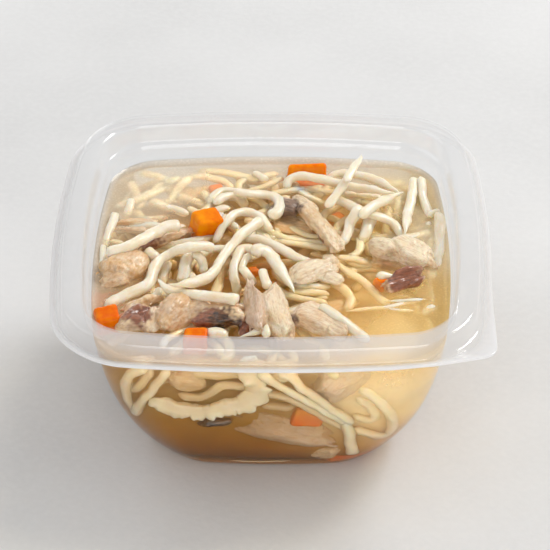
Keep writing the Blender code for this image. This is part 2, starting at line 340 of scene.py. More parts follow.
# The colours that things fade to, by height, on the left and on the right: the broth's amber, with painted shade that
# darkens it lower down and on the left, and painted light that pales it on the right, where the light falls.
HAZE_HEIGHTS = (0, 10, 25, 38, 47, 52)
HAZE_LEFT_SHADED = (
    (0.17, 0.055, 0.004), (0.24, 0.085, 0.006), (0.38, 0.185, 0.036),
    (0.56, 0.37, 0.16), (0.76, 0.58, 0.33), (0.9, 0.76, 0.52),
)
HAZE_RIGHT_LIT = (
    (0.25, 0.07, 0.006), (0.5, 0.25, 0.07), (0.9, 0.72, 0.43),
    (0.96, 0.84, 0.6), (0.97, 0.84, 0.57), (0.96, 0.8, 0.48),
)
HEAP_SHADE_COLOUR, HEAP_SHADE_SHARE = (0.8, 0.44, 0.09), 0.85  # painted shade: deep amber among the noodles in the middle of the top
HEAP_MIDDLE, HEAP_REACH, HEAP_HEIGHTS = (-6.0, 2.0), 23.0, (38.0, 46.0)
SHADE_TO_LIGHT_ACROSS = (-4.0, 34.0)  # the x between which the shaded left's colours turn into the lit right's
FOOD_REACH, CARROT_REACH, NOODLE_REACH = 10.0, 11.0, 4.4  # how deep each can lie and still be seen
FADE_POWER = 1.4
WALL_DEEPER = 1.25  # food behind the wall fades as if it lay this much deeper


def depth_in_broth(points):
    """How far each point lies inside the wall, under the level and over the base."""
    x, y, z = np.abs(points[:, 0]), np.abs(points[:, 1]), points[:, 2]
    half, corner = wall_half(z) - WALL / 2, wall_corner(z)
    slope = (wall_half(z + 1) - wall_half(z - 1)) / 2
    in_x = half - x / (1 - BOW * np.minimum(y / half, BOW_LIMIT) ** 2)
    in_y = half - y / (1 - BOW * np.minimum(x / half, BOW_LIMIT) ** 2)
    rounded = corner - np.hypot(corner - in_x, corner - in_y)
    in_corner = (in_x < corner) & (in_y < corner)
    wall = np.where(in_corner, rounded, np.minimum(in_x, in_y)) / np.sqrt(1 + slope**2)
    return wall, LEVEL - z, z - BASE_TOP


def haze_with_light_and_shade(points):
    """The colour that things fade to: the broth's colour, brown at the foot with painted shade, creamy high on the
    right with painted light, and deep amber with painted shade among the noodles in the middle of the top.
    """
    x, y, z = points.T
    left, right = (
        np.column_stack([np.interp(z, HAZE_HEIGHTS, channel) for channel in zip(*colours)])
        for colours in (HAZE_LEFT_SHADED, HAZE_RIGHT_LIT)
    )
    tone = left + (right - left) * smoothstep(*SHADE_TO_LIGHT_ACROSS, x)[:, None]
    # painted shade among the noodles in the middle of the top, which fades out lower down
    heap_shade = np.exp(-((x - HEAP_MIDDLE[0]) ** 2 + (y - HEAP_MIDDLE[1]) ** 2) / (2 * HEAP_REACH**2))
    heap_shade = HEAP_SHADE_SHARE * heap_shade * smoothstep(*HEAP_HEIGHTS, z)
    return tone + (np.array(HEAP_SHADE_COLOUR) - tone) * heap_shade[:, None]


def paint_sunk(obj, reach):
    """How far each point fades into the broth, the colour that it fades to with its painted light and shade, and
    whether it is wet.
    """
    points = points_of(obj)
    wall, top, _ = depth_in_broth(points)
    near = 1 / np.sqrt(1 / np.maximum(top, 0.01) ** 2 + 1 / np.maximum(wall * WALL_DEEPER, 0.01) ** 2)
    paint(obj, "sunk", np.where(top > 0, 1 - np.exp(-((near / reach) ** FADE_POWER)), 0.0))
    paint(obj, "tone", haze_with_light_and_shade(points))
    paint(obj, "dip", smoothstep(-0.4, 0.6, top))
    return obj


# ---------------------------------------------------------------- noodles

# The noodles seen from above, each over those before it: name, width, thickness, end shapes, heights from end
# to end, and the route as x and y on the sight plane
ABOVE = table("""
b1 3.4 3 rr 51.5,52.5,52 -26,47 -20,47 -15,45.5 -11,44 -6,42 -2.5,44.5 2,45.5
b2 3.4 3 rr 51,52,51.5 -29,43 -25,44 -20,42.5 -16,40 -13.5,36
b3 3.4 3 rr 51,50.5,50 -27,44.5 -29,43 -31.5,38 -34,31 -36,26
b3b 3.4 3 rr 50,49.5,50 -31,45 -34,43 -38,39 -41,33 -46,24
b6 2.4 2.2 rr 52,52.5,52 -12,33 -9,34.5 -4.5,37 -0.3,40 4,43.4
b7 3 2.6 rc 54,55.5 -7.5,46.2 -5,44.5 -2.6,41.8
b8 3.2 2.8 rr 52,53.6,53.8 -40.5,27.6 -37,26.2 -32.5,24 -27.6,20.6
b4 3.4 3 rr 52,53,53 -21,25 -20.8,30 -18,35 -14,35.5 -9,34
b4b 3.8 3.2 rr 53,54.2,53.6,51 -19.4,27 -17.5,30.6 -13.6,32.2 -10.4,29.6 -9.6,25
b5 4 3 rb 52,53,55,56.5,56 -13.5,35.5 -7.8,33.6 -2.8,32.8 0.8,31.4 2.6,27.4 1.2,22.6 -1.2,19.6
b9 3.2 2.8 rr 50,49,49.5 -24,37 -21,30 -24,24 -29,27
b10 3 2.6 rr 49,50,49 -9,45 -12,40 -11,33
l1 3.2 2.9 cr 54.8,54.3,51.8 -47.4,29.6 -47.7,25 -48.6,19
l2 2.9 2.6 cr 54.6,54.8,54,52 -51.9,21.4 -53,14 -54.4,7 -55,1
l2b 2.4 1.8 rr 53.4,54.8,54.2 -55.2,4 -54.8,-2.5 -54.4,-8.6
m2a 3.2 2.8 rr 52,52.4,52 -4.5,14.4 -1,11 3,8.6 8,6.6 13,5.6 18.6,4.6
m2b 3 2.6 rr 52.4,52.6,52 2,6 8,4.6 14,3 20,2
m2c 2.8 2.4 rr 50.6,50.8,50.6 5,16 9,12 14,9.4 19,9.8
m6 3.3 2.8 rr 51.8,51.8,51.6 0.6,-18 3.5,-22.5 8.5,-25 13.5,-26.4 18.5,-28
m7 3.1 2.7 rr 50.6,51.2,50.8 5.6,-19.6 10,-20.8 15,-21.2 19,-23.6
l8b 3.2 2.8 rr 51.8,51.5,51 -40.5,-7.6 -44,-12 -48.5,-17
l8 3.3 2.9 rr 54,53.8,52 -33,-5.5 -34.2,-12 -35.2,-18.5
l4b 2.8 2.4 rr 52,54.2,53.4 -38.5,7.4 -35.4,10 -33,12 -28,14.4
l3 4.3 3.5 bb 58.4,59.5,59 -53.7,-1.4 -50.5,-0.2 -46,3 -42,6.6 -38,10.8 -34,13.6 -29.4,14.3
l6 3 2.6 rr 55.8,54.8,54 -35,-19.5 -36.4,-24.6 -40.3,-27.2 -46,-29.6
l7a 4.6 3.4 rr 51,54.6,56,56 -28.6,-18.4 -28,-10.5 -27.4,-5 -25.4,-0.2
l7b 3.2 2.8 rr 56,55.8,55,52.5 -26,-0.6 -23.6,-2 -22.4,-6 -21.8,-12.6
l4 3.6 3 cr 57,55.5 -40.6,1.2 -38.8,-1.4 -36.2,-4
l5 4.1 3.5 br 57.8,58.2,58,57.4,56.4,55.4,54.6,54.2 -18.7,1.6 -21.5,3.1 -25,3 -29.9,1.2 -33.9,-2 -36.9,-6 -38.3,-11.7
        -38.5,-16 -40.6,-19.6 -43.4,-22 -46.8,-24.9 -50.4,-28.8 -52.6,-31
l9 4.1 3.4 pb 54.8,55.8,56,56.4 -36,-14.6 -33.8,-19.2 -30,-21.9 -25,-23.3 -19,-23.9 -14.5,-24.5 -9.8,-26.4
r2 2.6 2.2 rr 55.6,55.4 -14,16.4 -10.8,13
m1 3.7 3.2 rr 56,56,55.2,53 -9.6,8 -4,6.7 1,3.4 6,-0.8 10,-4.4 14.5,-8.4
r1 3.3 2.8 rr 52.6,56,57.5,57,55.6,52.6 -18.8,4.6 -17.2,10.4 -15.2,16.8 -12.2,21.6 -8.3,22.9 -4.8,20.6 -2.2,16
        -0.6,11.6
n1 3.7 3.2 rr 50.6,54.4,56,57,56.4 -10.9,-23.4 -11.8,-11.3 -11.4,-3.5 -9.6,1.9 -7,1.2 -5,-0.4
n3 2.6 2.2 rr 55.8,55,52.6 -6.6,-0.8 -8.4,-4.5 -9.8,-11
n2 4.7 3.8 bp 57.2,57.8,57,55.6,53.4 -6.4,-1.2 -3,1 0.6,-4.5 3.4,-11.3 6.4,-18.8 7.6,-22.4
l10 3.8 3.5 bp 57.4,57.8,57.6,57.4,57,55 -3.7,17.4 -8.1,12.3 -11.8,6.4 -15.2,-1.7 -18.2,-10 -20.6,-14.6 -25.4,-17
        -29.6,-18.2 -33,-17.6
m4b 3.2 2.8 rr 52.4,54,53 -9.6,-7.6 -7.4,-12.6 -5,-18.4
m4 3.5 2.8 cr 57.6,57.6,57 -3.2,-10 -2,-14.6 -0.6,-20.4
q2 3.1 2.8 rp 53,54.6,54.8,54.6,54.4 17,40.6 19.8,43.8 22.8,46 27.8,44.8 32,43.2 36.2,40.2 39.8,36.8 42.8,33.6
q3 3 2.6 rr 53,53.5 22.5,32.6 30,33 37,31
q13a 3.3 2.8 rr 52.4,50.4 41.6,32.6 41.8,27 41.6,19
q13b 3.2 2.8 rr 51,50 39,27 38.5,18
q9 4.5 3.6 rr 55.6,55,54,51.6 32.8,22.6 32,19 31.2,13 29.4,4.6
q5 3.3 2.9 rr 55.6,56.2,56.2,56,55.4,54.6,52.6 20.4,31 23.6,28.4 27.6,25.2 31,22.2 34,20.2 37.8,18.4 40.5,15 42.2,10
        43,5
q8 3.9 3.4 rr 56.4,56.4,55.8,53.6 28.6,26.6 27.4,22 25.9,17 24.6,10.6 22.4,3.4
q7 3.8 3.2 pr 56.8,57,57,56.4,55.6 43.8,34.8 40,32.2 36.8,29.6 33.4,26.4 30.4,22.8 28.6,19.6
q10 3.7 3.1 cp 57.2,56.4,55.4,53.6,50.6 47.4,42.2 46.6,35 45.8,29 44.8,21 43,11
q10b 3 2.7 cr 56.4,56,55,53 49.5,42.4 49.6,36 50.2,29.5 51.4,24 52.4,19
q12 2.4 2.2 rr 53.6,54.8,54.6 51,20.4 53.4,23 55.6,24.6
q16 3.4 2.8 rr 54,53.6 50.6,17 52.6,14.8
w1 4 3 rr 54.2,54,53.4 54.7,23 54.9,14 54.7,6 54,0 53,-9
w2 3.6 2.8 rr 50.6,50,49.6 53.4,10 52,2 51.4,-6 51.8,-14
q1 3.2 2.9 rp 53,56.6,57.4,57.2,56.8,56.4,56 4.6,36 5,40.6 7,43.4 10,44 14.4,42.9 18.5,41 23,39 27,37.2 32.4,36
        37.5,34.5 40.6,34
q15 3 2.6 rr 52.4,52.8,52 28,9 29,4 28,-0.4 24,-2.8
s0 3.2 2.8 rr 51.8,52.2,51.6 16,-2.4 22,-2.8 28,-3.6 32,-6
s1 3.4 2.9 rr 51.8,52,52,52.2 20,-6 25,-11 28.9,-14.6 31.6,-18.8 34,-23 36.6,-27.6 41,-30
s2 3.6 3 rr 51.8,52,51.6 15,-15 20,-17 23.2,-19.8 25.3,-23.6 25.5,-27.6 24.4,-32
s3 1.6 1.3 pp 53,53.2,53.2,52.8 23.6,-32 31.5,-30.4 37,-29.4 42.5,-27 48,-26.4
s3b 1.3 1 pp 53.1,53.3,53 35.5,-26.4 42,-25.4 50,-24.6
s3c 1.4 1.1 pp 53.1,53.2,52.9 36.5,-29.6 40.5,-30.8 46,-31.4
s4 3.2 2.8 rr 51,54.6,53.4 48,-34 50.4,-30 53,-30
s5 3.8 3.1 cr 58.4,57.6,56.4,55.4,54.4 15.8,-29.2 18.2,-31.2 21.1,-35 25,-39.6 28.4,-44.4 31,-48
s6 3.2 2.6 rp 56.3,56.3 33,-12.9 36.4,-12.2 42.4,-14.2
q4a 3.6 2.4 rc 57,58.8,61 17.6,25 20.6,31.6 24.6,41.8
q4b 3.3 1.8 rt 60.8,62,63.4 24,40 26.8,48.4 29.4,55.6
f1a 3.6 3 pb 55.4,57,57.6 -9.6,-45.6 -5.4,-43 -2.2,-40.8
f1b 3.6 2.8 tr 58,56 -1.2,-38.8 -1,-46
f2 3.4 2.8 br 56,55.6,54.6 -19.6,-43.8 -16.6,-42.8 -12.6,-45
""")
LIES_OVER = {
    "l3": ("chicken_left", "chicken_strands"),
    "l9": ("chicken_roasted",),
    "s5": ("chicken_pale",),
    "s6": ("carrot_small",),
}

# The noodles seen through the front wall: name, width, thickness, end shapes, depths behind the wall from end
# to end, and the route as x and height where the sight line meets the wall
THROUGH = table("""
h_back 3.4 3 rr 7,8,7 -25,50.1 -17.8,49.7 -13.4,49.8 -6,50.8
i2 4.4 3.2 rr 6,6.5,7 -3,37.4 1,36.4 4,35.8 8,36.2
i1 3.5 3 rr 4.6,4.4,4.4,4 -3,42.6 3.7,40.8 8,38.6 13.1,34.6 18.2,29.7 22.6,25.8 25.6,24.6
f 3.7 3.2 rr 6,5.5,5,5.4 -5.8,44.6 -11.4,45.4 -15,45.1 -17.2,42.8 -19.4,40.6 -22.3,39.3 -25.2,39.4 -28.4,40.6
c 3.6 3.1 rr 6,5.4,4.6 -36.4,51.1 -38.4,47.3 -40,43.9 -42.3,41 -43.4,43.4
b 3.8 3.3 rr 3.6,3,2.6,3 -37.4,51.4 -41.9,48.8 -44.6,44.1 -45.2,38.5 -44.6,32.7 -43.2,29 -42.5,26.4
d 3.7 3.2 rr 3.6,3,2.4,2.4 -31,51 -34.1,45.7 -36.8,41.2 -39.5,36.7 -41.6,30.9 -43.2,25
k2 3.6 3.1 rr 6,5,4.6,5 27,39.4 31.2,35.2 33.1,31 32.1,28.1 29.2,29 26.2,31
k1 3.8 3.3 rr 4.6,3.4,2.8,2.8,3.4,4.4 28.2,43.4 33.3,38.4 37.1,32.3 39,24.5 38,17.6 34.6,17.6 30.8,21.2 26.6,24.2
h2 4.2 3.4 rr 3.4,3,2.8,2.6 2.6,52.4 7.3,48.6 10.2,44.4 13.8,40.6 18.2,35.5 22.6,30.6 26.3,26.4
h1 3.6 3 rr 2.8,2.6,2.4,2.4 -3.8,51.4 1.6,47.1 6.6,42.7 11.3,39 15.6,35 19.6,31.4 24.1,27.2
j 4.2 3.4 rc 2.4,2.2,2.2 23.2,29 24.9,22.4 25.7,15.4 26.2,8.1
frill 7.2 2.3 rr 2.2,1.9,1.9,2,2.4,3.4 -37.4,37.6 -32.7,35 -27.6,32.9 -22.6,32.2 -17.4,33.7 -12.3,35.6 -7.9,37.5
        -4.8,40.7 -3.8,44.9 -4.6,48.5 -6.2,52 -7,56.5
base 1.3 1 pp 1.4,1.4 -13.4,3.6 -3,3.4 6.5,4.2
""")
NOODLE_STEP = 0.9
PLUMP = 0.93
NOODLE_SIDES = 12
PACKING = 0.86  # how close two noodles lie, as a share of their radii
HEIGHT_EASE = 4  # how softly heights and lifts change, in steps of a route
NEIGHBOURS, NEIGHBOUR_DEPTH = 12.0, 9.0  # how far off other noodles are looked for, and along the sight line
SUNK_BELOW = 53.2  # a noodle that never comes higher belongs to the sunk ones
SUNK_TOP, OPEN_TOP, FOOD_TOP = 52.2, 64.0, 64.5  # how high sunk noodles, others and those on food may be moved
FOOD_NEAR, FOOD_PRESS = 3.0, 0.55  # how far off food bears a noodle, and how close it lies, in radii
FRILL_SIDES, FRILL_STEP, FRILL_TURN = 18, 0.4, math.pi / 2 + 0.25
placed = []  # (n, 4) arrays of centre points and radii


def spread(values, count):
    """The few values given along a route, at its every point."""
    return np.interp(np.linspace(0, 1, count), np.linspace(0, 1, len(values)), values)


def sighted(x, y, z):
    """The points at heights z that are seen where x and y lie on the sight plane."""
    over, under = np.maximum(z, LEVEL) - SIGHT_PLANE, np.maximum(LEVEL - z, 0.0)
    return np.stack([x + SIGHT_SLOPE[0] * over, y + SIGHT_SLOPE[1] * over + SUNK_RUN * under, z], -1)


def from_above(route, heights):
    """Turns a route read on the sight plane into points in space at the given heights."""
    xy = curve_through(route, NOODLE_STEP)
    return sighted(*xy.T, soften(spread(heights, len(xy)), HEIGHT_EASE))


def wall_front(x, z):
    """The y of the inner front wall at each x and height."""
    y = []
    for xi, half, corner in zip(x, wall_half(z) - WALL / 2, wall_corner(z)):
        ring = plan(half, corner)
        front = ring[ring[:, 1] < -0.3 * half]
        order = np.argsort(front[:, 0])
        y.append(np.interp(xi, front[order, 0], front[order, 1]))
    return np.array(y)


def through_wall(route, behind):
    """Turns a route read on the front wall into points in the broth behind it, along the bent sight lines."""
    x, z = curve_through(route, NOODLE_STEP).T
    y = wall_front(x, z)
    dx = wall_front(x + 0.5, z) - wall_front(x - 0.5, z)
    dz = wall_front(x, z + 0.5) - wall_front(x, z - 0.5)
    normal = np.column_stack([dx, -np.ones(len(x)), dz])
    normal /= np.linalg.norm(normal, axis=1)[:, None]
    look = np.tile(-TO_EYE, (len(x), 1))
    cos_out = -np.einsum("ij,ij->i", look, normal)
    ratio = 1 / BROTH_IOR
    cos_in = np.sqrt(np.maximum(1 - ratio**2 * (1 - cos_out**2), 0.05))
    bent = look * ratio + normal * (ratio * cos_out - cos_in)[:, None]
    run = soften(spread(behind, len(x)), HEIGHT_EASE) / cos_in
    return np.column_stack([x, y, z]) + bent * run[:, None]


def across_sight(points):
    """How near the eye each point is, and its place on a plane across the view."""
    near = points @ TO_EYE
    return near, points - near[:, None] * TO_EYE


def lifted(path, lift, top):
    """Moves a route towards the eye, but no higher than the given top."""
    most = np.maximum((top - path[:, 2]) / TO_EYE[2], 0)
    return path + np.minimum(lift, most)[:, None] * TO_EYE


def settle(path, radius, top):
    """Moves a route towards the eye wherever it would run through a noodle that is already there."""
    there = np.vstack(placed)
    low, high = path.min(0) - NEIGHBOURS, path.max(0) + NEIGHBOURS
    there = there[np.all((there[:, :3] > low) & (there[:, :3] < high), axis=1)]
    if not len(there):
        return path
    near, flat = across_sight(path)
    their_near, their_flat = across_sight(there[:, :3])
    apart = ((flat[:, None, :] - their_flat[None]) ** 2).sum(-1)
    reach = (PACKING * (radius + there[:, 3])) ** 2
    touching = (apart < reach) & (np.abs(their_near - near[:, None]) < NEIGHBOUR_DEPTH)
    need = np.where(touching, their_near + np.sqrt(np.maximum(reach - apart, 0)), -np.inf).max(1)
    lift = np.maximum(need - near, 0)
    grown = [lift[max(0, i - HEIGHT_EASE):i + HEIGHT_EASE + 1].max() for i in range(len(lift))]
    return lifted(path, soften(grown, 2.5), top)


def over_food(path, radius, names):
    """Lifts a route over pieces of chicken or carrot that it lies on."""
    for name in names:
        near, flat = across_sight(points_of(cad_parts[name]))
        tree = kdtree.KDTree(len(flat))
        for i, p in enumerate(flat):
            tree.insert(Vector(p), i)
        tree.balance()
        height, places = across_sight(path)
        need = height.copy()
        for i, p in enumerate(places):
            under = tree.find_range(Vector(p), FOOD_NEAR)
            if under:
                need[i] = max(need[i], max(near[k] for _, k, _ in under) + FOOD_PRESS * radius)
        path = lifted(path, soften(np.maximum(need - height, 0), HEIGHT_EASE), FOOD_TOP)
    return path


def frames_along(path):
    """Tangents of a path, and two directions square to each that turn as little as they can."""
    tangent = np.gradient(path, axis=0)
    tangent /= np.linalg.norm(tangent, axis=1)[:, None]
    level = np.cross(tangent, [0.0, 0.0, 1.0])
    size = np.linalg.norm(level, axis=1)
    side = level[0] if size[0] > 0.2 else np.cross(tangent[0], [1.0, 0.0, 0.0])
    across = []
    for t, flat, amount in zip(tangent, level, size):
        side = side - t * (side @ t)
        side /= np.linalg.norm(side)
        if amount > 0.2:
            pull = flat / amount * np.sign(flat @ side or 1.0)
            side = side * 0.8 + pull * 0.2
            side /= np.linalg.norm(side)
        across.append(side)
    across = np.array(across)
    return tangent, across, np.cross(across, tangent)


def end_factor(distance, style, width):
    """How the girth falls off towards an end: r round, b blunt, p pointed, t torn, c cut."""
    if style == "r":
        u = np.clip(distance / (0.68 * width), 0, 1)
        return np.maximum(np.sqrt(1 - (1 - u) ** 2), 0.16)
    if style == "b":
        u = np.clip(distance / (0.40 * width), 0, 1)
        swell = 1 + 0.10 * np.exp(-((distance / width - 0.5) ** 2) / 0.3)
        return swell * np.maximum((1 - (1 - u) ** 3) ** (1 / 3), 0.3)
    if style == "p":
        return np.maximum(np.clip(distance / (2.6 * width), 0, 1) ** 0.75, 0.08)
    if style == "t":
        return 0.30 + 0.70 * np.clip(distance / (1.3 * width), 0, 1) ** 0.8
    u = np.clip(distance / 0.45, 0, 1)
    return 0.8 + 0.2 * np.sqrt(1 - (1 - u) ** 2)


def groove(angle, middle, width):
    """How deep a groove of this width cuts at each angle round a noodle."""
    away = (angle - middle + math.pi) % (2 * math.pi) - math.pi
    return np.exp(-((away / width) ** 2))[None]


SWAY, TWIST = 0.075, 0.55  # how far a strand strays, in widths, and turns, in radians
WIDTH_DRIFT, THICKNESS_DRIFT = 0.13, 0.12
BUMPS = ((2.4, 0.13, 17), (1.2, 0.06, 19))  # size, height as a share of the radius, salt
RUFFLE = 3.1  # length of one ruffle of the frilled noodle
END_DOME = 0.05  # how far the middle of an end stands out, in widths


def strand(path, width, thick, seed, ends="rr", frill=0.0, sides=NOODLE_SIDES, rough=1.0, turn=0.0):
    """Points, faces and grain of one noodle or fibre swept along a path."""
    run = lengths_along(path)
    count = len(path)
    along = np.column_stack([run / 9.0, np.full(count, seed * 7.3), np.zeros(count)])

    def drift(scale, shift, salt):
        return lattice_noise(along * scale + shift, seed + salt)

    path = path + SWAY * width * rough * np.column_stack([drift(2.4, 11.3 * k, 41 + k) for k in range(3)])
    tangent, across, over = frames_along(path)
    twist = turn + TWIST * drift(0.5, 0.0, 0)
    c, s = np.cos(twist)[:, None], np.sin(twist)[:, None]
    across, over = across * c + over * s, over * c - across * s
    factor = end_factor(run, ends[0], width) * end_factor(run[-1] - run, ends[1], width)
    half_w = width / 2 * factor * (1 + WIDTH_DRIFT * rough * drift(1.3, 0.0, 3))
    half_t = thick / 2 * factor * (1 + THICKNESS_DRIFT * rough * drift(1.3, 31.7, 5))

    # the section: a rounded box with two grooves that come and go
    angle = np.linspace(0, 2 * math.pi, sides, endpoint=False)
    u, v = (np.sign(w) * np.abs(w) ** 0.80 for w in (np.cos(angle), np.sin(angle)))
    groove_at = (seed * 2.399) % (2 * math.pi)
    deep = 0.24 * smoothstep(-0.15, 0.45, drift(0.8, 5.5, 11)) * rough
    dent = 0.14 * smoothstep(0.0, 0.5, drift(1.5, 2.5, 12)) * rough
    section = 1 - deep[:, None] * groove(angle, groove_at, 0.42) - dent[:, None] * groove(angle, groove_at + 2.2, 0.7)
    wide = half_w[:, None] * u[None] * section
    flat = half_t[:, None] * v[None] * section
    if frill:
        ruffle = 0.6 * np.abs(np.sin(run * math.pi / RUFFLE + 1.6 * drift(2.1, 0.0, 8))) - 0.2
        ruffle = ruffle + 0.45 * drift(7.2, 0.0, 9)
        edge = smoothstep(0.1, 1.0, -u)[None] + 0.30 * smoothstep(0.1, 1.0, u)[None]
        wide = wide + frill * edge * (1.5 * ruffle[:, None]) * np.sign(u)[None]
        flat = flat + frill * 0.6 * drift(3.4, 0.0, 21)[:, None] * smoothstep(0.0, 1.0, -u)[None]
        flat = flat * (1 - 0.35 * frill * smoothstep(0.5, 1.0, -u)[None])
    points = path[:, None] + across[:, None] * wide[..., None] + over[:, None] * flat[..., None]
    bumps = sum(high * lattice_noise(points.reshape(-1, 3) / size, seed + salt) for size, high, salt in BUMPS)
    points = points + (points - path[:, None]) * (rough * bumps.reshape(count, sides))[..., None]

    for row, way, style in ((0, -1, ends[0]), (count - 1, 1, ends[1])):
        if style == "t":
            jag = lattice_noise(points[row] * 1.3, seed + 29)[:, None]
            points[row] = points[row] + tangent[row] * way * (0.6 + 1.2 * jag)
        elif style == "c":
            slant = 0.55 * math.sin(seed * 1.7) * (points[row] - path[row]) @ across[row]
            points[row] = points[row] + tangent[row] * slant[:, None] * way
    first, last = path[0] - tangent[0] * END_DOME * width, path[-1] + tangent[-1] * END_DOME * width
    grain = np.column_stack([np.repeat(run, sides), wide.ravel(), flat.ravel()])
    grain = np.vstack([grain, grain[0], grain[-1]]) + np.array([seed * 13.1, 0, 0])
    return np.vstack([points.reshape(-1, 3), first, last]), rings_and_fans(count, sides), grain


class Gathered:
    """Many strands in one mesh."""

    def __init__(self):
        self.points, self.faces, self.grain, self.count = [], [], [], 0

    def add(self, made):
        points, faces, grain = made
        self.points.append(points)
        self.grain.append(grain)
        self.faces += [tuple(i + self.count for i in face) for face in faces]
        self.count += len(points)

    def object(self, name):
        obj = face_out(mesh_object(name, np.vstack(self.points), self.faces))
        paint(obj, "grain", np.vstack(self.grain))
        return obj


def take_room(path, radius):
    placed.append(np.column_stack([path, np.full(len(path), radius)]))


def build_noodles():
    """The noodles that the photo shows: those on top, and those that are wholly sunk."""
    top, sunk = Gathered(), Gathered()
    for seed, (name, width, thick, ends, behind, *route) in enumerate(THROUGH, 200):
        path = through_wall(route, behind)
        look = {}
        if name == "frill":
            path = curve_through(path[::2], FRILL_STEP)
            look = {"frill": 1.0, "sides": FRILL_SIDES, "turn": FRILL_TURN}
        sunk.add(strand(path, width, thick, seed, ends, **look))
        take_room(path, (width + thick) / 4)
    for seed, (name, width, thick, ends, heights, *route) in enumerate(ABOVE, 1):
        width, thick = width * PLUMP, thick * PLUMP
        radius = (width + thick) / 4
        sunken = max(heights) < SUNK_BELOW
        path = over_food(from_above(route, heights), radius, LIES_OVER.get(name, ()))
        path = soften(settle(path, radius, SUNK_TOP if sunken else OPEN_TOP), 1.2)
        (sunk if sunken else top).add(strand(path, width, thick, seed, ends))
        take_room(path, radius)
    return top, sunk


# ---------------------------------------------------------------- noodles that fill the rest of the broth

FILL_SEED = 41
FILL_TRIES = 900
FILL_STEP, FILLER_STEP = 2.0, 1.1  # between the points of a route, and of its noodle
FILLER_SIDES = 10
SIDE_LENGTH, UNDER_LENGTH = (30, 75), (18, 42)
FEWEST_SIDE, FEWEST_UNDER = 9, 7  # the fewest points that make a noodle
WALL_GAP, TOP_GAP, DEEPEST = 0.5, 0.9, 13.5  # from the wall and the level; deeper than that nothing is seen
FRONT_X, FRONT_Y, FRONT_Z = 47, -24, 45  # behind the front wall, only noodles that the photo shows
SIDE_OPEN = ((22.0, 60.0, -60.0, -12.0),)  # x and y reaches where the broth lies open to some depth
UNDER_OPEN = ((20.0, 60.0, -60.0, -6.0), (-60.0, -43.0, -34.0, -8.0))


def in_reaches(here, reaches):
    return any(a < here[0] < b and c < here[1] < d for a, b, c, d in reaches)


def side_route(rng, made):
    """A route that wanders near the wall or the top of the broth, away from the front wall."""
    radius = rng.uniform(1.5, 1.9)
    here = np.array([rng.uniform(-52, 52), rng.uniform(-50, 52), rng.uniform(14, 51.4)])
    heading = rng.uniform(0, 2 * math.pi)
    pitch = rng.uniform(-1.2, 1.2)
    path = []
    for _ in range(int(rng.uniform(*SIDE_LENGTH) / FILL_STEP)):
        wall, top, base = (float(v[0]) for v in depth_in_broth(here[None]))
        near = min(wall, top)
        if min(wall, base) < radius + WALL_GAP or top < radius + TOP_GAP or near > DEEPEST:
            break
        if abs(here[0]) < FRONT_X and here[1] < FRONT_Y and here[2] < FRONT_Z:
            break
        if in_reaches(here, SIDE_OPEN) and top < 9:
            break
        path.append(here.copy())
        heading += rng.normal(0, 0.16) + 0.10 * math.sin(len(path) * 0.35 + made)
        pitch = 0.93 * pitch + rng.normal(0, 0.22)
        ahead = here + [math.cos(heading) * 5, math.sin(heading) * 5, 0]
        if depth_in_broth(ahead[None])[0][0] < radius + 2.0:
            heading += 0.5 if made % 2 else -0.5
        if near > 10:
            heading += 0.3
            pitch += 0.15
        level = math.cos(pitch)
        here = here + FILL_STEP * np.array([math.cos(heading) * level, math.sin(heading) * level, math.sin(pitch)])
    return radius, soften(curve_through(path, FILLER_STEP), 1.5) if len(path) >= FEWEST_SIDE else None


def under_route(rng, made):
    """A route that curls just under the surface."""
    radius = rng.uniform(1.45, 1.85)
    here = np.array([rng.uniform(-50, 52), rng.uniform(-42, 47)])
    heading = rng.uniform(0, 2 * math.pi)
    curl = rng.normal(0, 0.10)
    length = rng.uniform(*UNDER_LENGTH)
    height = rng.uniform(48.6, 52.8)
    path = []
    for _ in range(int(length / FILL_STEP)):
        wall = float(depth_in_broth(np.array([[*here, 50.0]]))[0][0])
        if wall < radius + 1.0 or in_reaches(here, UNDER_OPEN):
            break
        path.append(here.copy())
        heading += curl + rng.normal(0, 0.12)
        here = here + FILL_STEP * np.array([math.cos(heading), math.sin(heading)])
    if len(path) < FEWEST_UNDER:
        return radius, None
    waves = height + 0.8 * np.sin(np.arange(len(path)) * 0.5 + made)
    return radius, curve_through(np.column_stack([path, waves]), FILLER_STEP)


# how many noodles, their routes, the first seed, and how close (in radii) a share of each may come to others
FILL = ((95, side_route, 500, 0.62, 0.15), (60, under_route, 800, 0.66, 0.3))


def build_fill(gathered):
    """Adds noodles that the photo doesn't show one by one, wherever there is room for them."""
    rng = np.random.default_rng(FILL_SEED)
    for count, route, seed, closest, share in FILL:
        made = tries = 0
        while made < count and tries < FILL_TRIES:
            tries += 1
            radius, path = route(rng, made)
            if path is None:
                continue
            there = np.vstack(placed)
            gap = np.sqrt(((path[:, None] - there[None, :, :3]) ** 2).sum(-1)) / (radius + there[None, :, 3])
            if np.quantile(gap.min(1), share) < closest:
                continue
            gathered.add(strand(path, 2 * radius * 1.05, 2 * radius * 0.9, seed + made, sides=FILLER_SIDES))
            take_room(path, radius)
            made += 1


# ---------------------------------------------------------------- chicken

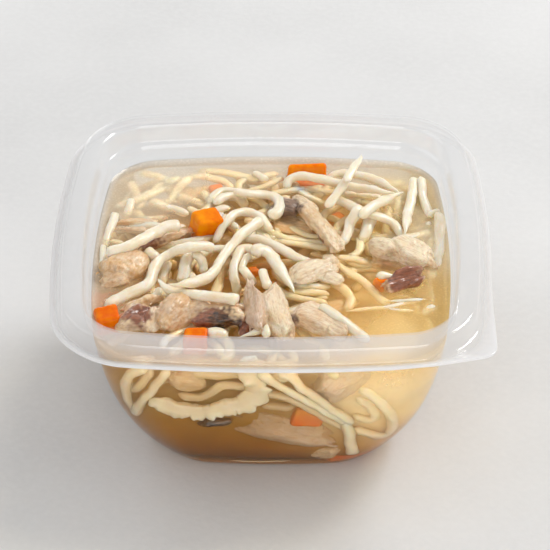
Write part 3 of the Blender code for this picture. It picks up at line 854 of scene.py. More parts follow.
# The lobes that make each piece: piece, place on the sight plane with the height, size, yaw pitch roll in
# degrees, and how tan, pink and grey it is
CHICKEN = table("""
chicken_left -47.8,-8,54.6 20,13.5,9.4 63,0,0 1,0.3,0.05
chicken_left -50.4,-15.6,54.3 9,9.6,7 20,0,0 0.75,0.6,0
chicken_left -53.4,-5,54.3 10,3,3.4 78,0,0 0.35,0.2,0
chicken_strands -45.4,15.6,53.9 14,3.4,3.6 8,0,0 0.7,0.35,0
chicken_strands -45.6,12,53.4 13,4,3.4 -6,0,0 0.55,0.6,0
chicken_strands -34.2,7.4,54.4 18,3.2,3.4 32,0,0 0.6,0.6,0
chicken_strands -37.6,3.4,53.5 12,3.2,3 26,0,0 0.95,0.3,0.1
chicken_corner -42.2,-33.8,55.3 14.5,6.6,6 42,0,0 0.8,0.7,0.1
chicken_corner -40.6,-28.2,54.7 13.5,4,4 30,0,0 0.75,0.25,0
chicken_corner -43.6,-38.6,55 10.5,6.4,5.8 12,0,0 0.35,0.3,0
chicken_corner -36.6,-36.6,55.2 11,7.4,6.6 82,0,0 0.5,0.4,0
chicken_roasted -30.2,-34.4,55 15.5,11.5,8.5 58,0,0 0.95,0.4,0.25
chicken_roasted -24.6,-31.6,55.2 12,8,6.4 10,0,0 0.95,0.3,0.15
chicken_roasted -16.6,-35.4,55.4 18,9.5,7.8 -10,0,0 0.5,0.3,0
chicken_roasted -15.4,-29.8,55.2 19,3.4,4 -13,0,0 0.55,0.3,0.1
chicken_roasted -8.4,-36.2,56.2 7.4,2.6,2.6 48,0,0 0.05,0.25,0
chicken_roasted -6.6,-41,54.6 7,4.4,5 60,0,0 1,0.8,0
chicken_front -4.6,-30.2,57.2 25,7.4,7.4 -84,0,22 0.6,0.8,0.6
chicken_front 1.6,-31.4,56.8 26,9,7.6 -79,0,-14 0.15,0.3,0
chicken_front 3.3,-40,56 10,9.4,6.5 -60,0,0 0.2,0.4,0
chicken_pale 15.6,-38,54.8 16.5,11,8.4 -24,0,0 0.4,0.75,0
chicken_pale 8.6,-35.6,54.6 8.5,5,6 62,0,0 0.75,0.6,0.55
chicken_pale 20.6,-42.2,54.8 8.5,7,6.4 -42,0,0 0.2,0.35,0
chicken_middle 12.6,-11.2,55.1 17.5,10,5.6 38,0,0 0.15,0.25,0
chicken_middle 18.8,-14.4,54.4 8.5,5,4.2 -28,0,0 0.1,0.2,0
chicken_middle 19.4,-5.6,54.4 7,5,4.4 -38,0,0 0.3,0.4,0
chicken_strip 15.2,16.2,56 31,6.6,5.4 -65,0,0 0.62,0.2,0
chicken_strip 10.6,27.4,56.6 10.5,3.6,4 -48,0,0 0.25,0.5,0
chicken_strip 4.8,25.2,54.9 9.5,8,5.2 -32,0,0 0.7,0.5,0.9
chicken_strip 7.6,15,51.4 16,9,3.4 -22,0,0 0.95,0.6,0.2
chicken_strip 20.8,1.8,55 4.8,3.2,3.2 24,0,0 0.1,0.8,0
chicken_right 36.4,1.8,54.8 10,8,7.6 -32,0,0 0.3,0,0.1
chicken_right 44.4,-0.6,55.2 16,10.5,9 -32,0,0 0,0,0
chicken_right 49.6,-3.6,54.4 13,3.8,6 -62,0,0 0.6,0.1,0
chicken_right 38.4,-5.6,51.8 11,7,6 -10,0,0 0.75,0.25,0.1
chicken_dark 43.8,-12.4,55.7 11,5,5 27,0,0 1,0.9,0
chicken_dark 40.6,-17.2,54.9 13,4.6,4.6 27,0,0 0.9,0.9,0
chicken_dark 46.6,-16,55.2 6.8,2.6,2.8 40,0,0 0.1,0.8,0
""")
# Chicken that is wholly under the broth: piece, middle in space, size, turn, colour
SUNK_CHICKEN = table("""
chicken_sunk_right 22,-46.6,44.8 19,12,15 14,-38,0 0.25,0.7,0.55
chicken_sunk_base 2.8,-42.6,22.8 35,12,13.5 2,19,0 0.55,1,0.6
chicken_sunk_left -26,-47,44.2 12.5,8,9.5 10,12,0 0.5,0.7,0.2
chicken_sunk_pale 18.5,-38,9.4 12,8,8 40,-30,0 0.3,0.3,0
chicken_sunk_burnt -17,-49,26.4 11.5,3.6,3.2 4,-8,0 1,0.5,0
chicken_sunk_speck 16.6,-33,3.9 6,3.2,3 -12,0,0 1,0.5,0
chicken_sunk_back -24,40,46.5 20,10,8 14,0,0 0.5,0.4,0
chicken_sunk_side 45,8,33 18,9,13 80,20,0 0.5,0.5,0.1
chicken_sunk_west -44,12,26 20,9,13 95,-24,0 0.4,0.6,0.1
chicken_sunk_north 14,42,28 22,9,12 8,26,0 0.5,0.5,0.1
chicken_sunk_centre 20,-22,47 16,10,6.5 30,0,0 0.6,0.4,0
""")
# Browned or blackened places: piece, kind, middle (on the sight plane unless the piece is sunk), reach
BROWNED = table("""
chicken_roasted char -16,-36.8,58 6
chicken_roasted char -12,-37.6,57 3.6
chicken_roasted roast -19,-36,57 6.4
chicken_roasted roast -6.4,-41,56 5
chicken_corner roast -42,-34,57 6.6
chicken_corner roast -38,-31,57 3.6
chicken_strip skin 4.4,24.4,56.5 7.4
chicken_strip roast 15.4,5.8,53.5 3.2
chicken_dark roast 42.6,-13.6,56.5 9.4
chicken_right roast 51,-6,53.5 2.6
chicken_right roast 38,-8.6,51.5 4.4
chicken_strands roast -40,3.4,53 6
chicken_pale skin 7,-35.6,57 2.6
chicken_front roast 0.6,-37.4,60 1.2
chicken_sunk_base skin -12,-45,28 7
chicken_sunk_burnt char -17,-49,26.4 12
chicken_sunk_speck char 17,-33,4 9
""")
MEAT_SEED = 900
VOXEL = 0.34
PLUMP_MEAT = (1.08, 1.24, 1.20)
LOBE_ROWS, LOBE_COLUMNS = 26, 30
TEARS, TEAR_REACH = 9, (0.60, 0.90)  # flat torn faces of a lobe, and how far out they lie
FIBRE_SPACING, FRAY_SPACING = 3.2, 5  # girth for each loose fibre, and for each that sticks out of an end
FIBRE_STEP, FIBRE_SIDES, FIBRE_ROUGH = 0.8, 7, 1.5
GRAIN_SHIFT = 17.0  # keeps the grain of one lobe apart from the next one's
TEAR_EASE = 0.045  # how softly a torn face meets the next, as a share of the lobe's half size


def chunk_point(along, angle, seed, size, lift=1.0):
    """A point of a lobe, shaped as the CAD's: along its grain from -1 to 1, at an angle round it."""
    lobes = 1 + 0.08 * math.sin(3 * angle + seed) + 0.05 * math.sin(4 * angle + 2.0 * seed)
    taper = 1 - 0.16 * along * math.sin(1.3 * seed)
    full = max(1 - min(abs(along), 1.0) ** 3, 0.02) ** 0.4 * lift
    torn = along * (1 + 0.13 * math.sin(2 * angle + seed))
    bend = 0.14 * math.sin(0.9 * seed) * (along**2 - 0.4)
    girth = lobes * taper * full
    side, up = math.cos(angle) * girth + bend, math.sin(angle) * girth
    return np.array([torn, side, up]) * np.array(size) / 2 * 0.93


def turned(turn):
    return np.array(Euler([math.radians(a) for a in turn[::-1]]).to_matrix())


def hewn(points, planes, size):
    """Pushes points back to the flat faces that tearing left."""
    scale = np.array(size) / 2
    p = points / scale
    for way, reach in planes:
        past = (p @ way - reach) / TEAR_EASE
        soft = TEAR_EASE * np.where(past > 30, past, np.log1p(np.exp(np.minimum(past, 30))))
        p = p - soft[:, None] * way
    return p * scale


def add_lobe(body, rng, seed, middle, size, turn):
    """One lobe of meat, with loose fibres along it and frayed at both ends."""
    size = np.array(size) * PLUMP_MEAT
    rotation = turned(turn)
    planes = []
    for _ in range(TEARS):
        way = rng.normal(0, 1, 3) * [0.55, 1.0, 1.0]
        way /= np.linalg.norm(way)
        planes.append((way, rng.uniform(*TEAR_REACH)))

    def place(points):
        return hewn(np.array(points), planes, size) @ rotation.T + middle

    def fibre(path, radius, flatness, fibre_seed, ends):
        path = curve_through(path, FIBRE_STEP)
        made = strand(path, 2 * radius, flatness * radius, fibre_seed, ends, sides=FIBRE_SIDES, rough=FIBRE_ROUGH)
        body.add(made)

    skin = place([
        chunk_point(-0.99 + 1.98 * r / (LOBE_ROWS - 1), 2 * math.pi * c / LOBE_COLUMNS, seed, size)
        for r in range(LOBE_ROWS) for c in range(LOBE_COLUMNS)
    ])
    body.add((skin, rings_to_faces(LOBE_ROWS, LOBE_COLUMNS), skin))
    girth = math.pi * (size[1] + size[2]) / 2
    for k in range(int(girth / FIBRE_SPACING)):
        angle, drift = rng.uniform(0, 2 * math.pi), rng.uniform(-0.4, 0.4)
        at, reach = rng.uniform(-0.75, 0.75), rng.uniform(0.2, 0.5)
        stops = np.linspace(at - reach, at + reach, 7)
        path = place([chunk_point(a, angle + drift * (a - at), seed, size, 0.98) for a in stops])
        fibre(path, rng.uniform(0.30, 0.62), 1.5, seed * 60 + k, "pp")
    for k in range(max(3, int(girth / FRAY_SPACING))):
        way = -1 if k % 2 else 1
        root = chunk_point(way * 0.72, rng.uniform(0, 2 * math.pi), seed, size, rng.uniform(0.2, 0.8))
        tip = root + np.array([way * rng.uniform(0.12, 0.22) * size[0], rng.uniform(-1, 1), rng.uniform(-1, 0.6)])
        path = np.array([root, (root + tip) / 2 + rng.uniform(-0.4, 0.4, 3), tip]) @ rotation.T + middle
        fibre(path, rng.uniform(0.4, 0.9), 1.4, seed * 80 + k, "rp")


def meat_body(name, seed, lobes):
    """All lobes of a piece merged into one skin."""
    rng = np.random.default_rng(MEAT_SEED + seed)
    body = Gathered()
    for k, (middle, size, turn, _) in enumerate(lobes):
        add_lobe(body, rng, seed + 31 * k, middle, size, turn)
    obj = body.object(f"{name}_meat")
    obj.data.attributes.remove(obj.data.attributes["grain"])
    remesh = obj.modifiers.new("merge", "REMESH")
    remesh.mode = "VOXEL"
    remesh.voxel_size = VOXEL * MM
    ease = obj.modifiers.new("ease", "SMOOTH")
    ease.factor = 0.5
    ease.iterations = 2
    evaluated(obj)
    return obj


def build_chunk(name, seed, lobes):
    """A torn piece of cooked chicken. Each lobe: middle in space, size, turn, colour."""
    obj = meat_body(name, seed, lobes)
    world = points_of(obj)
    normals = np.zeros(len(world) * 3, np.float32)
    obj.data.vertices.foreach_get("normal", normals)
    normals = normals.reshape(-1, 3)

    # each point takes its grain from the lobe it lies on, and its colour from all near it
    grain, across = np.zeros_like(world), np.zeros(len(world))
    nearest = np.full(len(world), 1e9)
    share, colour = np.zeros(len(world)), np.zeros((len(world), 3))
    for k, (middle, size, turn, tint) in enumerate(lobes):
        rotation = turned(turn)
        local = (world - middle) @ rotation
        off = np.linalg.norm(local / (np.array(size) / 2), axis=1)
        here = off < nearest
        nearest = np.where(here, off, nearest)
        grain[here] = (local + GRAIN_SHIFT * k)[here]
        across[here] = 1 - np.abs(normals[here] @ rotation[:, 0])
        weight = np.exp(-7.0 * off)
        share += weight
        colour += weight[:, None] * tint
    colour /= share[:, None]

    fine = lattice_noise(grain / [3.8, 0.58, 0.58], seed)
    wide = lattice_noise(grain / [7.0, 1.7, 1.7] + 7.7, seed + 1)
    crumb = lattice_noise(world / 0.85, seed + 2)
    lump = lattice_noise(world / 3.4 + 3.3, seed + 9)
    torn = smoothstep(0.1, 0.7, lattice_noise(world / 3.0 + 1.3, seed + 12))
    height = (0.14 * fine + 0.17 * wide) * across + crumb * (0.08 + 0.22 * (1 - across) + 0.26 * torn) + 0.40 * lump
    world = world + normals * height[:, None]
    obj.data.vertices.foreach_set("co", (world * MM).astype(np.float32).ravel())
    obj.data.update()
    obj.data.shade_smooth()

    paint(obj, "grain", grain)
    # painted shade: the height of the grain's ridges, so that their low hollows can be darkened
    paint(obj, "ridge", 0.5 + 0.35 * fine + 0.30 * wide + 0.2 * crumb * torn)
    wobble = lattice_noise(world / 2.3, seed + 5) + 0.6 * lattice_noise(world / 0.9, seed + 6)
    for kind, ragged in (("roast", 0.26), ("char", 0.42), ("skin", 0.26)):
        mask = np.zeros(len(world))
        for piece, what, spot, reach in BROWNED:
            if (piece, what) == (name, kind):
                spot = np.array(spot) if name.startswith("chicken_sunk") else sighted(*spot)
                near = 1 - np.linalg.norm(world - spot, axis=1) / reach
                mask = np.maximum(mask, smoothstep(0.0, 0.40, near + ragged * wobble - 0.05))
        paint(obj, kind, mask)
    for k, kind in enumerate(("tan", "pink", "grey")):
        paint(obj, kind, np.clip(colour[:, k] + 0.28 * lattice_noise(world / 4.5, seed + 7 + k), 0, 1))
    return paint_sunk(obj, FOOD_REACH)


def build_chicken():
    """Every piece of chicken by name, those that the CAD has first."""
    pieces = {}
    for name, middle, *rest in CHICKEN:
        pieces.setdefault(name, []).append((sighted(*middle), *rest))
    for name, middle, *rest in SUNK_CHICKEN:
        pieces[name] = [(np.array(middle), *rest)]
    return {name: build_chunk(name, seed, lobes) for seed, (name, lobes) in enumerate(pieces.items(), 1)}


# ---------------------------------------------------------------- carrot

# name, middle, size, yaw pitch roll, how golden the top is, the dice's own colour with painted light; the first five
# are the CAD's
CARROT = table("""
carrot_back 11,47.3,53.6 14,6.6,9 1,0,-34 0.5
carrot_centre -21.9,15.8,54.9 9.8,9.3,9.8 24,5,4 0.65
carrot_corner -51.2,-34.6,53.4 8.4,8.8,8.6 12,-5,4 0.1
carrot_front -23.2,-44,52.2 8.2,7.5,9.5 -3,0,3 0.2
carrot_small 35.6,-12.8,52 5.5,5.5,5.5 35,5,0 0.3
carrot_sunk_front 11.5,-44.6,28.4 10.5,8,8.5 12,10,8 0.7
carrot_sunk_base 24.5,-31.8,7.6 17,10,9 24,-8,8 0.3
carrot_sunk_right 21,26,46.6 7,7,6 35,6,0 0.3
carrot_sunk_left -19.5,41,50 5.5,5.5,5.5 20,8,0 0.3
carrot_sunk_centre -6.4,-4.6,48.8 4.6,4.6,5 30,10,0 0.3
carrot_sunk_east 49,26,38 8,8.5,8 15,22,12 0.3
carrot_sunk_west -51,-12,38 7,8.5,8 8,14,30 0.3
carrot_sunk_north -22,48,36 8.5,7,8 12,18,8 0.3
""")
DICE_STEPS = 16
DICE_EASE = 1.5  # radius of the edges


def block(steps):
    """Points and faces of a block from -1 to 1, with each face cut into squares."""
    line = np.linspace(-1, 1, steps + 1)
    index, faces = {}, []
    for axis, way in itertools.product(range(3), (-1, 1)):
        others = [k for k in range(3) if k != axis]
        for i, j in itertools.product(range(steps), range(steps)):
            face = []
            for a, b in ((i, j), (i + 1, j), (i + 1, j + 1), (i, j + 1)):
                p = [0.0, 0.0, 0.0]
                p[axis], p[others[0]], p[others[1]] = way, line[a], line[b]
                face.append(index.setdefault(tuple(np.round(p, 6)), len(index)))
            faces.append(tuple(face if way * (1 if axis != 1 else -1) > 0 else face[::-1]))
    return np.array(list(index)), faces


def build_carrot(name, seed, middle, size, turn, gold):
    """A knife-cut dice: slightly hollow faces, eased edges with nicks, a top that is askew."""
    p, faces = block(DICE_STEPS)
    half = np.array(size) / 2
    ease = DICE_EASE / half
    box = np.clip(p, -1 + ease, 1 - ease)
    off = (p - box) / ease
    length = np.linalg.norm(off, axis=1)
    off *= np.where(length > 0, np.abs(off).max(1) / np.maximum(length, 1e-9), 0)[:, None]
    p = box + off * ease
    upper = (p[:, 2] + 1) / 2
    p[:, 0] = p[:, 0] * (1 - 0.07 * upper) + 0.06 * upper
    p[:, 1] = p[:, 1] * (1 - 0.10 * upper)
    p[:, 2] += 0.05 * p[:, 0]
    local = p * half
    hollow = 0.28 * (1 - np.sort(np.abs(p), axis=1)[:, 1] ** 2)
    normal = p / np.maximum(np.linalg.norm(p, axis=1), 1e-9)[:, None]
    wave = 0.16 * lattice_noise(local / 3.2, seed) + 0.06 * lattice_noise(local / 1.1, seed + 4)
    rotation = turned(turn)
    local = local + normal * (wave - hollow)[:, None]
    obj = face_out(mesh_object(f"{name}_dice", local @ rotation.T + middle, faces))
    subdivide(obj)
    away = points_of(obj) - middle
    paint(obj, "grain", away @ rotation)
    # painted light with the dice's own golden colour: golden on the top, less so on the east side
    east, high = smoothstep(-0.2, 0.6, away[:, 0] / half[0]), smoothstep(-0.5, 0.5, away[:, 2] / half[2])
    paint(obj, "gold", gold * high * (1 - 0.5 * east))
    return paint_sunk(obj, CARROT_REACH)


# ---------------------------------------------------------------- broth, core and tub

BROTH_INSET = 0.2  # under half the wall: the broth reaches just into the plastic
BROTH_STATIONS, TUB_STATIONS = 36, 26
SURFACE_SIDES, SURFACE_CORNERS = 88, 42
SURFACE_STEP = 0.85
CLIMB = 0.9  # how far from the wall or from food the surface climbs
CLOUD = (  # where the top of the broth is cloudy: x, y, reach, share, colour
    (-42.0, 38.0, 18.0, 0.42, (0.97, 0.87, 0.68)),
    (0.0, 48.0, 12.0, 0.28, (0.93, 0.74, 0.50)),
    (28.0, 48.0, 12.0, 0.38, (0.94, 0.80, 0.56)),
    (50.0, 36.0, 14.0, 0.40, (0.96, 0.82, 0.50)),
    (54.0, 6.0, 12.0, 0.48, (0.98, 0.85, 0.60)),
    (44.0, -36.0, 22.0, 0.46, (0.95, 0.67, 0.27)),
    (26.0, -20.0, 14.0, 0.20, (0.88, 0.50, 0.12)),
    (-52.0, -22.0, 12.0, 0.36, (0.90, 0.62, 0.36)),
    (0.0, 0.0, 30.0, 0.05, (0.74, 0.40, 0.08)),
    (6.0, 22.0, 14.0, 0.12, (0.84, 0.56, 0.26)),
)
CLOUD_EDGE = 5.0  # how far from the wall the edge of the broth takes a stronger veil too
EDGE_COLOUR = (0.94, 0.89, 0.82)
FOOT_COLOUR = (0.52, 0.21, 0.025)  # of the dark amber line at the very foot


def cloudiness(points, surface):
    """How cloudy each point of the broth's skin is, and of what colour, with painted light on its side skin, more
    towards the right.
    """
    x, y, z = points.T
    weight = np.array([1 / (1 + ((x - cx) ** 2 + (y - cy) ** 2) / reach**2) ** 2.5 for cx, cy, reach, _, _ in CLOUD])
    weight /= weight.sum(0)
    share = weight.T @ np.array([c[3] for c in CLOUD])
    tint = weight.T @ np.array([c[4] for c in CLOUD])
    wall, _, _ = depth_in_broth(points)
    edge = np.exp(-np.maximum(wall, 0) / CLOUD_EDGE)
    share = np.maximum(share, 0.66 * edge + 0.28 * smoothstep(47.0, 55.0, y))
    creamy = 0.9 * edge * smoothstep(-30.0, 20.0, y - x / 2)
    tint += (np.array(EDGE_COLOUR) - tint) * creamy[:, None]
    # painted light on the cloudy broth: the side skin takes more veil higher up and towards the right, where it is
    # lit, in the brightened fade colour
    side = smoothstep(14.0, 48.0, z) * (0.06 + 0.22 * smoothstep(8.0, 38.0, x))
    foot = 1 - smoothstep(2.0, 8.0, z)
    lit_shaded_wash = np.minimum(haze_with_light_and_shade(points) * 1.05, 1.0)
    lit_shaded_wash += (np.array(FOOT_COLOUR) - lit_shaded_wash) * foot[:, None]
    return np.where(surface, share, np.maximum(side, 0.45 * foot)), np.where(surface[:, None], tint, lit_shaded_wash)


def build_broth(emergent):
    """The broth's skin, from the middle of its surface to the middle of its base."""
    stations = inset(wall_stations(BROTH_STATIONS) + list(FOOT), BROTH_INSET)
    below = [s for s in stations if s[1] < LEVEL - 2.0]
    above = stations[len(stations) - len(below) - 1]
    share = (LEVEL - below[0][1]) / (above[1] - below[0][1])
    half, _, corner = (b + (a - b) * share for a, b in zip(above, below[0]))
    count = int(half / SURFACE_STEP)
    rings = [(half * k / count, LEVEL, max(corner * (k / count), 0.4)) for k in range(1, count + 1)]
    rings = [raised(plan(h, c, SURFACE_SIDES, SURFACE_CORNERS), z) for h, z, c in rings + below]
    n = len(rings[0])
    points = np.vstack([*rings, [[0, 0, LEVEL], [0, 0, below[-1][1]]]])
    surface = np.zeros(len(points), bool)
    surface[:count * n] = True
    surface[-2] = True

    # the surface climbs a little at the wall and round whatever stands out of it
    wall, _, _ = depth_in_broth(points)
    rise = 0.75 * np.exp(-np.maximum(wall, 0) / CLIMB)
    tree = kdtree.KDTree(len(emergent))
    for i, p in enumerate(emergent):
        tree.insert((p[0], p[1], 0.0), i)
    tree.balance()
    for i in np.nonzero(surface)[0]:
        _, _, distance = tree.find((points[i][0], points[i][1], 0.0))
        rise[i] = max(rise[i], 0.55 * math.exp(-distance / CLIMB))
    ripple = 0.10 * lattice_noise(points / 14.0, 3) + 0.05 * lattice_noise(points / 5.0, 4)
    points[surface, 2] += (rise + ripple)[surface]
    obj = face_out(mesh_object("broth_liquid", points, rings_and_fans(len(rings), n)))
    veil, tint = cloudiness(points, surface)
    paint(obj, "veil", veil)
    paint(obj, "tint", tint)
    return obj


CORE_INSET = 9.5
CORE_TOP, CORE_FOOT = 42.5, 3.4
CORE_CORNER = 14.0
CORE_LID = (0.12, 0.3, 0.5, 0.7, 0.86)  # rings of its top, as shares of its highest one
CORE_DOME = 2.4


def build_core():
    """The cloudy middle of the broth, past which nothing is seen."""
    rings = []
    for z in np.linspace(CORE_TOP, CORE_FOOT, 28):
        top = max(0.0, 1 - (CORE_TOP - z) / 9.0)
        foot = max(0.0, 1 - (z - CORE_FOOT) / 5.0)
        half = wall_half(z) - CORE_INSET
        half -= 13.0 * top**2.2 + 3.0 * foot**2
        half += 5.0 * (1 - z / 60.0)
        rings.append(raised(plan(half, CORE_CORNER, 8, 10), z))
    reach = np.abs(rings[0][:, :2]).max()
    rings = [rings[0] * [share, share, 1.0] for share in CORE_LID] + rings
    for ring in rings[:len(CORE_LID) + 1]:
        ring[:, 2] += CORE_DOME * (1 - np.minimum(np.hypot(ring[:, 0], ring[:, 1]) / (1.3 * reach), 1.0) ** 2)
    points = np.vstack(rings)
    shift = np.column_stack([lattice_noise(points / 9.0, 60 + k) for k in range(3)])
    points = points + shift * [1.6, 1.6, 0.5]
    obj = face_out(mesh_object("broth_core", points, rings_to_faces(len(rings), len(rings[0]))))
    subdivide(obj)
    obj.data.shade_smooth()
    paint(obj, "tone", haze_with_light_and_shade(points_of(obj)))
    return obj


def build_tub():
    """The plastic: its upper side from the base to the lip, the lip's round edge, and its lower side."""
    middle = eased(RIM, 0.75) + eased(wall_stations(TUB_STATIONS) + list(FOOT), 0.5, 2)
    (edge_half, edge_z, edge_corner), (root_half, _, root_corner) = RIM[:2]
    root_ring = plan(root_half, root_corner)
    edge_ring = with_tab(plan(edge_half, edge_corner))

    def ring_at(half, z, corner):
        if half > root_half + 0.05 and z < 63.0:
            share = (half - root_half) / (edge_half - root_half)
            return raised(root_ring + (edge_ring - root_ring) * share, z)
        return raised(plan(half, corner), z)

    way = edge_ring - root_ring
    way /= np.linalg.norm(way, axis=1)[:, None]
    bead = [raised(edge_ring + way * BEAD * math.cos(a), edge_z + BEAD * math.sin(a))
            for a in np.linspace(BEAD_TURN, -BEAD_TURN, BEAD_STEPS)]
    upper = [ring_at(*s) for s in inset(middle, WALL / 2)]
    lower = [ring_at(*s) for s in inset(middle, -WALL / 2)]
    rings = upper[:0:-1] + bead + lower[1:]
    n = len(rings[0])
    obj = face_out(mesh_object("tub_shell", np.vstack(rings), rings_to_faces(len(rings), n)))
    # painted highlight: the lip's round edge is marked, to be painted nearly opaque white as a bright line
    lip_highlight = np.zeros(len(obj.data.vertices))
    lip_highlight[(len(upper) - 1) * n:(len(upper) - 1 + len(bead)) * n] = 1.0
    paint(obj, "milk", smoothstep(55.5, 61.5, points_of(obj)[:, 2]))
    paint(obj, "bead", lip_highlight)
    return obj


# ---------------------------------------------------------------- materials


class Shade:
    """A small helper that builds one node material."""

    def __init__(self, name):
        self.material = bpy.data.materials.new(name)
        self.material.use_nodes = True
        self.tree = self.material.node_tree
        self.tree.nodes.clear()
        self.out = self.tree.nodes.new("ShaderNodeOutputMaterial")

    def put(self, kind, values=(), output=0, **settings):
        """Adds a node, with a link or a plain value in each socket named, and gives one of its outputs."""
        node = self.tree.nodes.new("ShaderNode" + kind)
        for key, value in settings.items():
            setattr(node, key, value)
        for key, value in dict(values).items():
            socket = node.inputs[key]
            if isinstance(value, bpy.types.NodeSocket):
                self.tree.links.new(value, socket)
            elif isinstance(value, tuple) and len(value) < len(socket.default_value):
                socket.default_value = (*value, 1.0)
            else:
                socket.default_value = value
        return node.outputs[output]

    def mix(self, factor, a, b, blend="MIX"):
        return self.put("Mix", {0: factor, 6: a, 7: b}, 2, data_type="RGBA", blend_type=blend)

    def over(self, base, mask, share, colour):
        """Lays a share of a colour over another where a mask says."""
        return self.mix(self.times(mask, share), base, colour)

    def value(self, name):
        return self.put("Attribute", output="Fac", attribute_name=name)

    def colour(self, name):
        return self.put("Attribute", output="Vector", attribute_name=name)

    def place(self):
        return self.put("TexCoord", output="Object")

    def noise(self, vector, scale, detail=3.0, stretch=(1, 1, 1), roughness=0.5):
        mapped = self.put("Mapping", {"Vector": vector, "Scale": stretch})
        return self.put("TexNoise", {"Vector": mapped, "Scale": scale, "Detail": detail, "Roughness": roughness})

    def ramp(self, value, low, high):
        return self.put("MapRange", {"Value": value, "From Min": low, "From Max": high})

    def math(self, operation, a, b):
        return self.put("Math", {0: a, 1: b}, operation=operation)

    def times(self, a, b):
        return self.math("MULTIPLY", a, b)

    def plus(self, a, b):
        return self.math("ADD", a, b)

    def bump(self, height, strength, distance):
        return self.put("Bump", {"Height": height, "Strength": strength, "Distance": distance})

    def principled(self, colour, roughness, **more):
        """A Principled shader. Its other sockets are named with _ for each space."""
        values = {key.replace("_", " "): value for key, value in more.items()}
        return self.put("BsdfPrincipled", {"Base Color": colour, "Roughness": roughness, **values})

    def blend(self, factor, a, b):
        return self.put("MixShader", {0: factor, 1: a, 2: b})

    def finish(self, surface, volume=None):
        self.tree.links.new(surface, self.out.inputs["Surface"])
        if volume is not None:
            self.tree.links.new(volume, self.out.inputs["Volume"])
        return self.material


def noodle_material():
    s = Shade("noodle")
    grain = s.colour("grain")
    streak = s.noise(grain, 0.55, 3.0, (0.35, 1.0, 1.0))
    fine = s.noise(grain, 2.2, 4.0, (0.5, 1.0, 1.0))
    base = s.mix(s.ramp(streak, 0.35, 0.68), (0.90, 0.77, 0.55), (0.94, 0.87, 0.74))
    base = s.over(base, s.ramp(fine, 0.50, 0.75), 0.45, (0.82, 0.65, 0.38))
    base = s.over(base, s.value("dip"), 0.45, (0.99, 0.87, 0.63))
    colour = s.mix(s.value("sunk"), base, s.colour("tone"))
    return s.finish(s.principled(
        colour, 0.32, Normal=s.bump(s.plus(fine, s.times(streak, 1.2)), 0.55, 0.00028), IOR=1.42,
        Subsurface_Weight=0.65, Subsurface_Radius=(1.0, 0.70, 0.42), Subsurface_Scale=0.0020,
        Coat_Weight=0.4, Coat_Roughness=0.16,
    ))


def chicken_material():
    s = Shade("chicken")
    grain = s.colour("grain")
    fibre = s.noise(grain, 1.0, 5.0, (0.24, 1.1, 1.1), 0.65)
    thread = s.noise(grain, 2.2, 5.0, (0.22, 1.0, 1.0), 0.65)
    patch = s.noise(grain, 0.34, 5.0, (0.7, 1.0, 1.0), 0.7)
    base = s.mix(s.value("tan"), (0.95, 0.82, 0.58), (0.76, 0.46, 0.18))
    base = s.over(base, s.value("pink"), 0.45, (0.82, 0.52, 0.34))
    base = s.over(base, s.ramp(patch, 0.44, 0.66), 0.70, (0.97, 0.87, 0.68))
    base = s.mix(s.value("grey"), base, (0.62, 0.47, 0.37))
    # the meat's streaks, darker in the grooves of the grain, with painted shade there
    base = s.over(base, s.ramp(fibre, 0.54, 0.32), 0.36, (0.60, 0.33, 0.14))
    # the threads' streaks with painted shade in their grooves, and painted shade in the hollows between the grain's
    # ridges
    for mask, share in ((s.ramp(thread, 0.52, 0.34), 0.34), (s.ramp(s.value("ridge"), 0.34, 0.05), 0.40)):
        base = s.over(base, mask, share, (0.50, 0.26, 0.10))
    # each browned kind runs from dark in the grooves of the grain to light on its ridges: its own colour, with
    # painted shade in the grooves
    for kind, share, low, high, dark, light in (
        ("roast", 0.92, 0.35, 0.65, (0.11, 0.020, 0.007), (0.37, 0.100, 0.036)),
        ("skin", 1.0, 0.35, 0.65, (0.13, 0.080, 0.055), (0.36, 0.235, 0.16)),
        ("char", 1.0, 0.40, 0.70, (0.026, 0.012, 0.006), (0.26, 0.11, 0.045)),
    ):
        base = s.over(base, s.value(kind), share, s.mix(s.ramp(fibre, low, high), dark, light))
    colour = s.mix(s.value("sunk"), base, s.colour("tone"))
    wet = s.plus(s.times(s.math("MAXIMUM", s.value("roast"), s.value("char")), 0.45), 0.28)
    return s.finish(s.principled(
        colour, 0.34, Normal=s.bump(s.plus(fibre, s.times(thread, 0.6)), 0.75, 0.00034), IOR=1.4,
        Subsurface_Weight=0.3, Subsurface_Radius=(1.0, 0.55, 0.28), Subsurface_Scale=0.0011,
        Coat_Weight=wet, Coat_Roughness=0.13,
    ))


def carrot_material():
    s = Shade("carrot")
    grain = s.colour("grain")
    mottle = s.noise(grain, 0.35, 4.0)
    fine = s.noise(grain, 2.6)
    base = s.mix(s.ramp(mottle, 0.38, 0.66), (0.86, 0.135, 0.001), (0.95, 0.235, 0.002))
    # painted light with the dice's own golden colour, on its top
    base = s.over(base, s.value("gold"), s.ramp(mottle, 0.1, 0.6), (0.94, 0.38, 0.001))
    base = s.over(base, s.ramp(fine, 0.6, 0.8), 0.3, (0.98, 0.36, 0.004))
    base = s.over(base, s.value("dip"), 0.35, (0.80, 0.14, 0.001))
    colour = s.mix(s.value("sunk"), base, s.colour("tone"))
    return s.finish(s.principled(
        colour, 0.22, Normal=s.bump(fine, 0.3, 0.00015), IOR=1.3, Specular_IOR_Level=0.3,
        Subsurface_Weight=0.4, Subsurface_Radius=(1.0, 0.25, 0.01), Subsurface_Scale=0.0015,
    ))


